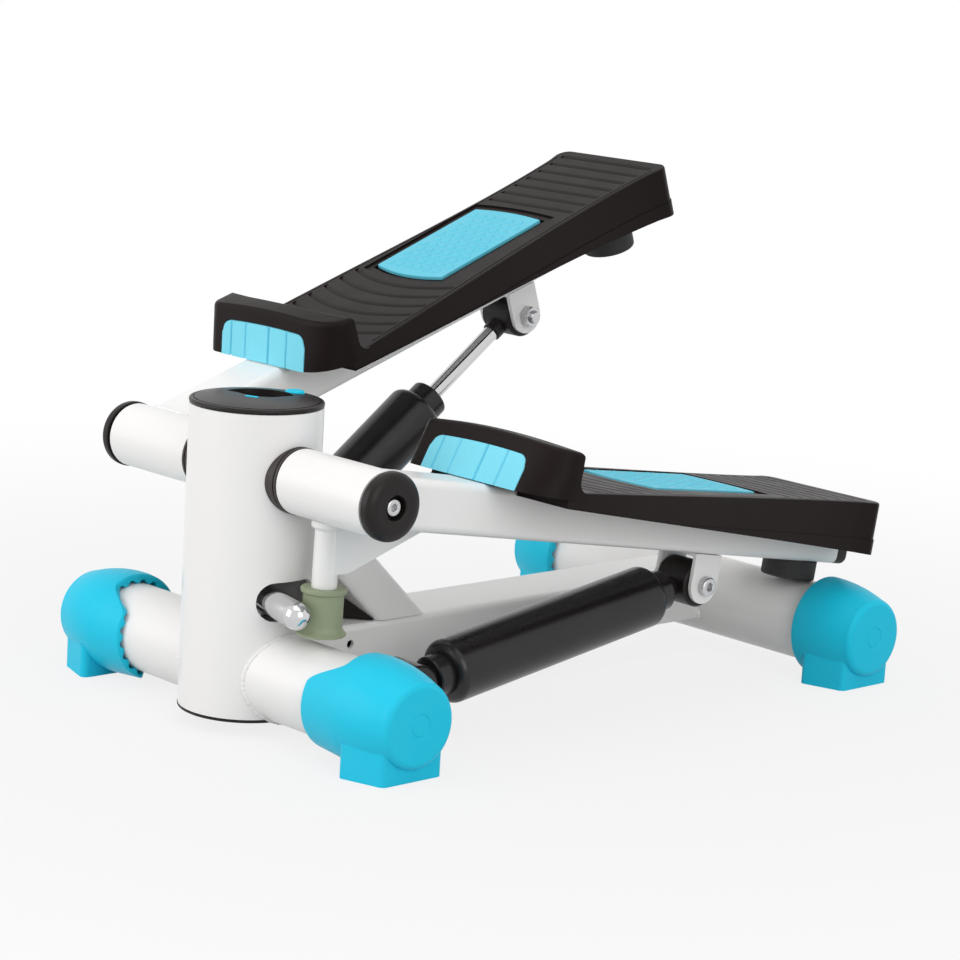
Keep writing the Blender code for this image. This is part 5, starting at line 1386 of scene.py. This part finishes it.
for side_name in sides:
    middle = arm_middles[side_name]
    body = f"{side_name}_arm"
    plate = blank(loft([
        plate_ring(0, rim_level), plate_ring(0, lambda b: skirt_line(b) - 0.0002),
        plate_ring(skirt_step, skirt_line),
        plate_ring(skirt_step, lambda b: tread_level(b) - plate_edge),
        plate_ring(skirt_step + 0.3 * plate_edge, lambda b: tread_level(b) - 0.3 * plate_edge),
        plate_ring(skirt_step + plate_edge, tread_level),
    ]))
    foot = tread_level(toe_back[1])
    toe_rings = [toe_ring(0, toe_fillet, toe_low), toe_ring(0, toe_fillet, foot)]
    for step in range(1, 8):
        turn = math.pi / 2 * step / 7
        shift = toe_fillet * (1 - math.sin(turn))
        toe_rings.append(toe_ring(0, shift, foot + toe_fillet * (1 - math.cos(turn))))
    toe_rings.append(toe_ring(0, 0, toe_top - 2 * plate_edge))
    for step in range(1, 5):
        turn = math.pi / 2 * step / 4
        toe_rings.append(toe_ring(
            2 * plate_edge * (1 - math.cos(turn)), 0, toe_top - 2 * plate_edge * (1 - math.sin(turn))
        ))
    toe = loft(toe_rings)
    bmesh.ops.triangulate(toe, faces=toe.faces)
    carve(plate, toe, operation="UNION")
    room_half, room_top = arm_width / 2 + fit_gap, arm_height / 2 + fit_gap
    arm_outline = [(-room_half, -0.05), (room_half, -0.05), (room_half, room_top), (-room_half, room_top)]
    panel_room = toe_panel(-2 * panel_thickness, panel_thickness + fit_gap, fit_gap, 2 * fit_gap, ())
    carve(plate, panel_room, *under_rooms())
    carve(plate, draw_out(arm_outline, 0.0, 0.5, "Y"), tread_slab(tread_border, -border_depth, 0.01))
    carve(plate, tread_slab(fit_gap, -tread_thickness - fit_gap, 0.01))
    moat = blank(tread_slab(moat_width, -moat_depth, 0.01))
    carve(moat, tread_slab(-moat_width, -plate_skin, 0.02))
    moat_shape = bmesh.new()
    moat_shape.from_mesh(moat.data)
    bpy.data.objects.remove(moat)
    carve(plate, moat_shape)
    carve(plate, *[tread_groove(*spot) for spot in groove_places()], lip_groove(-1), lip_groove(1))
    plastic = footplate_plastic(f"{side_name}_plate_plastic")
    plate_node = f"{side_name}_footplate"
    settle(plate, f"{side_name}_tread_plate", plastic, body, [plate_node], middle)
    panel = blank(toe_panel(-0.0004, panel_thickness, 0, 0, panel_grooves))
    plastic = moulded_cyan(f"{side_name}_toe_plastic", (0.210, 0.720, 0.880))
    panel_node = f"{side_name}_toe_panel"
    settle(panel, f"{side_name}_toe_insert", plastic, body, [panel_node], middle)
    rubber = tread_rubber(f"{side_name}_pad_rubber")
    pad = soften(blank(tread_slab(0, -tread_thickness, 0.0002)), 0.0005, 2)
    settle(pad, f"{side_name}_grip_pad", rubber, body, [f"{side_name}_tread_pad"], middle)
    slope = math.atan2(plate_top_level[1] - plate_top_level[0], plate_rear - plate_front)
    pad_level = tread_level(tread_middle.y) + 0.0002
    on_pad = Matrix.Translation((tread_middle.x, tread_middle.y, pad_level)) @ Matrix.Rotation(slope, 4, "X")
    domes = dome_field(f"{side_name}_domes", rubber)
    settle(domes, f"{side_name}_pad_domes", rubber, body, (), middle @ on_pad)


# Studio: a pale floor, a white backdrop for the camera, and broad soft lamps.

def seen_rays(tree):
    """1 for rays that show a thing to the camera, straight or in metal and glass."""
    path = tree.nodes.new("ShaderNodeLightPath")
    kinds = ("Camera", "Glossy", "Transmission")
    camera, glossy, through = (Value(tree, path.outputs[f"Is {kind} Ray"]) for kind in kinds)
    return camera.math("MAXIMUM", camera, camera.math("MAXIMUM", glossy, through))


floor_half = 6.0
floor_finish = Finish("studio_floor", (0.55, 0.55, 0.55), 0.9)
floor_finish.feed("Roughness", 0.88 + 0.04 * floor_finish.noise(3.0))
length_of = {"operation": "LENGTH"}
distance = floor_finish.node("ShaderNodeVectorMath", length_of, output="Value", _0=floor_finish.place)
whiteness = floor_finish.node(
    "ShaderNodeMapRange", {"interpolation_type": "SMOOTHSTEP"},
    Value=distance, From_Min=0.25, From_Max=0.95, To_Min=0.82, To_Max=1.0,
)
glow = floor_finish.node("ShaderNodeEmission", Color=(1.0, 1.0, 1.0, 1.0), Strength=1.0)
paint = Value(floor_finish.tree, floor_finish.surface.outputs[0])
whitened = whiteness * seen_rays(floor_finish.tree)
blend = floor_finish.node("ShaderNodeMixShader", _0=whitened, _1=paint, _2=glow)
floor_finish.tree.links.new(blend.socket, floor_finish.tree.nodes["Material Output"].inputs["Surface"])
floor = blank(draw_out(rectangle(2 * floor_half, 2 * floor_half), -0.02, 0.0))
floor.name = "floor"
floor.data.materials.append(floor_finish.material)

world = bpy.data.worlds.new("studio")
bpy.context.scene.world = world
world.use_nodes = True
backdrop = world.node_tree.nodes["Background"]
backdrop.inputs["Color"].default_value = (1.0, 1.0, 1.0, 1.0)
world.node_tree.links.new((0.64 + 0.36 * seen_rays(world.node_tree)).socket, backdrop.inputs["Strength"])


def lamp(name, place, target, size, power):
    """A square soft lamp that points at a target."""
    light = bpy.data.lights.new(name, "AREA")
    light.size = size
    light.energy = power
    item = bpy.data.objects.new(name, light)
    bpy.context.scene.collection.objects.link(item)
    item.location = place
    item.rotation_euler = (Vector(target) - Vector(place)).to_track_quat("-Z", "Y").to_euler()
    return item


machine_middle = (0.0, 0.0, 0.12)
lamp("overhead", (0.2, -0.2, 1.9), machine_middle, 1.8, 8)
lamp("front_left", (-0.9, -1.9, 0.8), machine_middle, 1.4, 16)
lamp("near_side", (1.9, -0.6, 0.9), machine_middle, 1.2, 10.5)


# Camera: three quarters from the front on the user's left, fitted to the photograph.

camera_azimuth = math.radians(46.6565)
camera_height = math.radians(11.1028)
camera_roll = math.radians(3.3463)
camera_place = Vector((1.2766476, -1.0296055 + column_y, 0.4676678))
camera_lens = 110.86
right = Vector((math.cos(camera_azimuth), math.sin(camera_azimuth), 0))
back = Vector((
    math.sin(camera_azimuth) * math.cos(camera_height), -math.cos(camera_azimuth) * math.cos(camera_height),
    math.sin(camera_height),
))
up = back.cross(right)
rolled_right = math.cos(camera_roll) * right + math.sin(camera_roll) * up
rolled_up = -math.sin(camera_roll) * right + math.cos(camera_roll) * up
camera_data = bpy.data.cameras.new("camera")
camera_data.lens = camera_lens
camera_data.sensor_width = 36.0
camera = bpy.data.objects.new("camera", camera_data)
bpy.context.scene.collection.objects.link(camera)
turn = Matrix((rolled_right, rolled_up, back)).transposed().to_4x4()
camera.matrix_world = Matrix.Translation(camera_place) @ turn
bpy.context.scene.camera = camera
bpy.context.scene.view_settings.view_transform = "Standard"
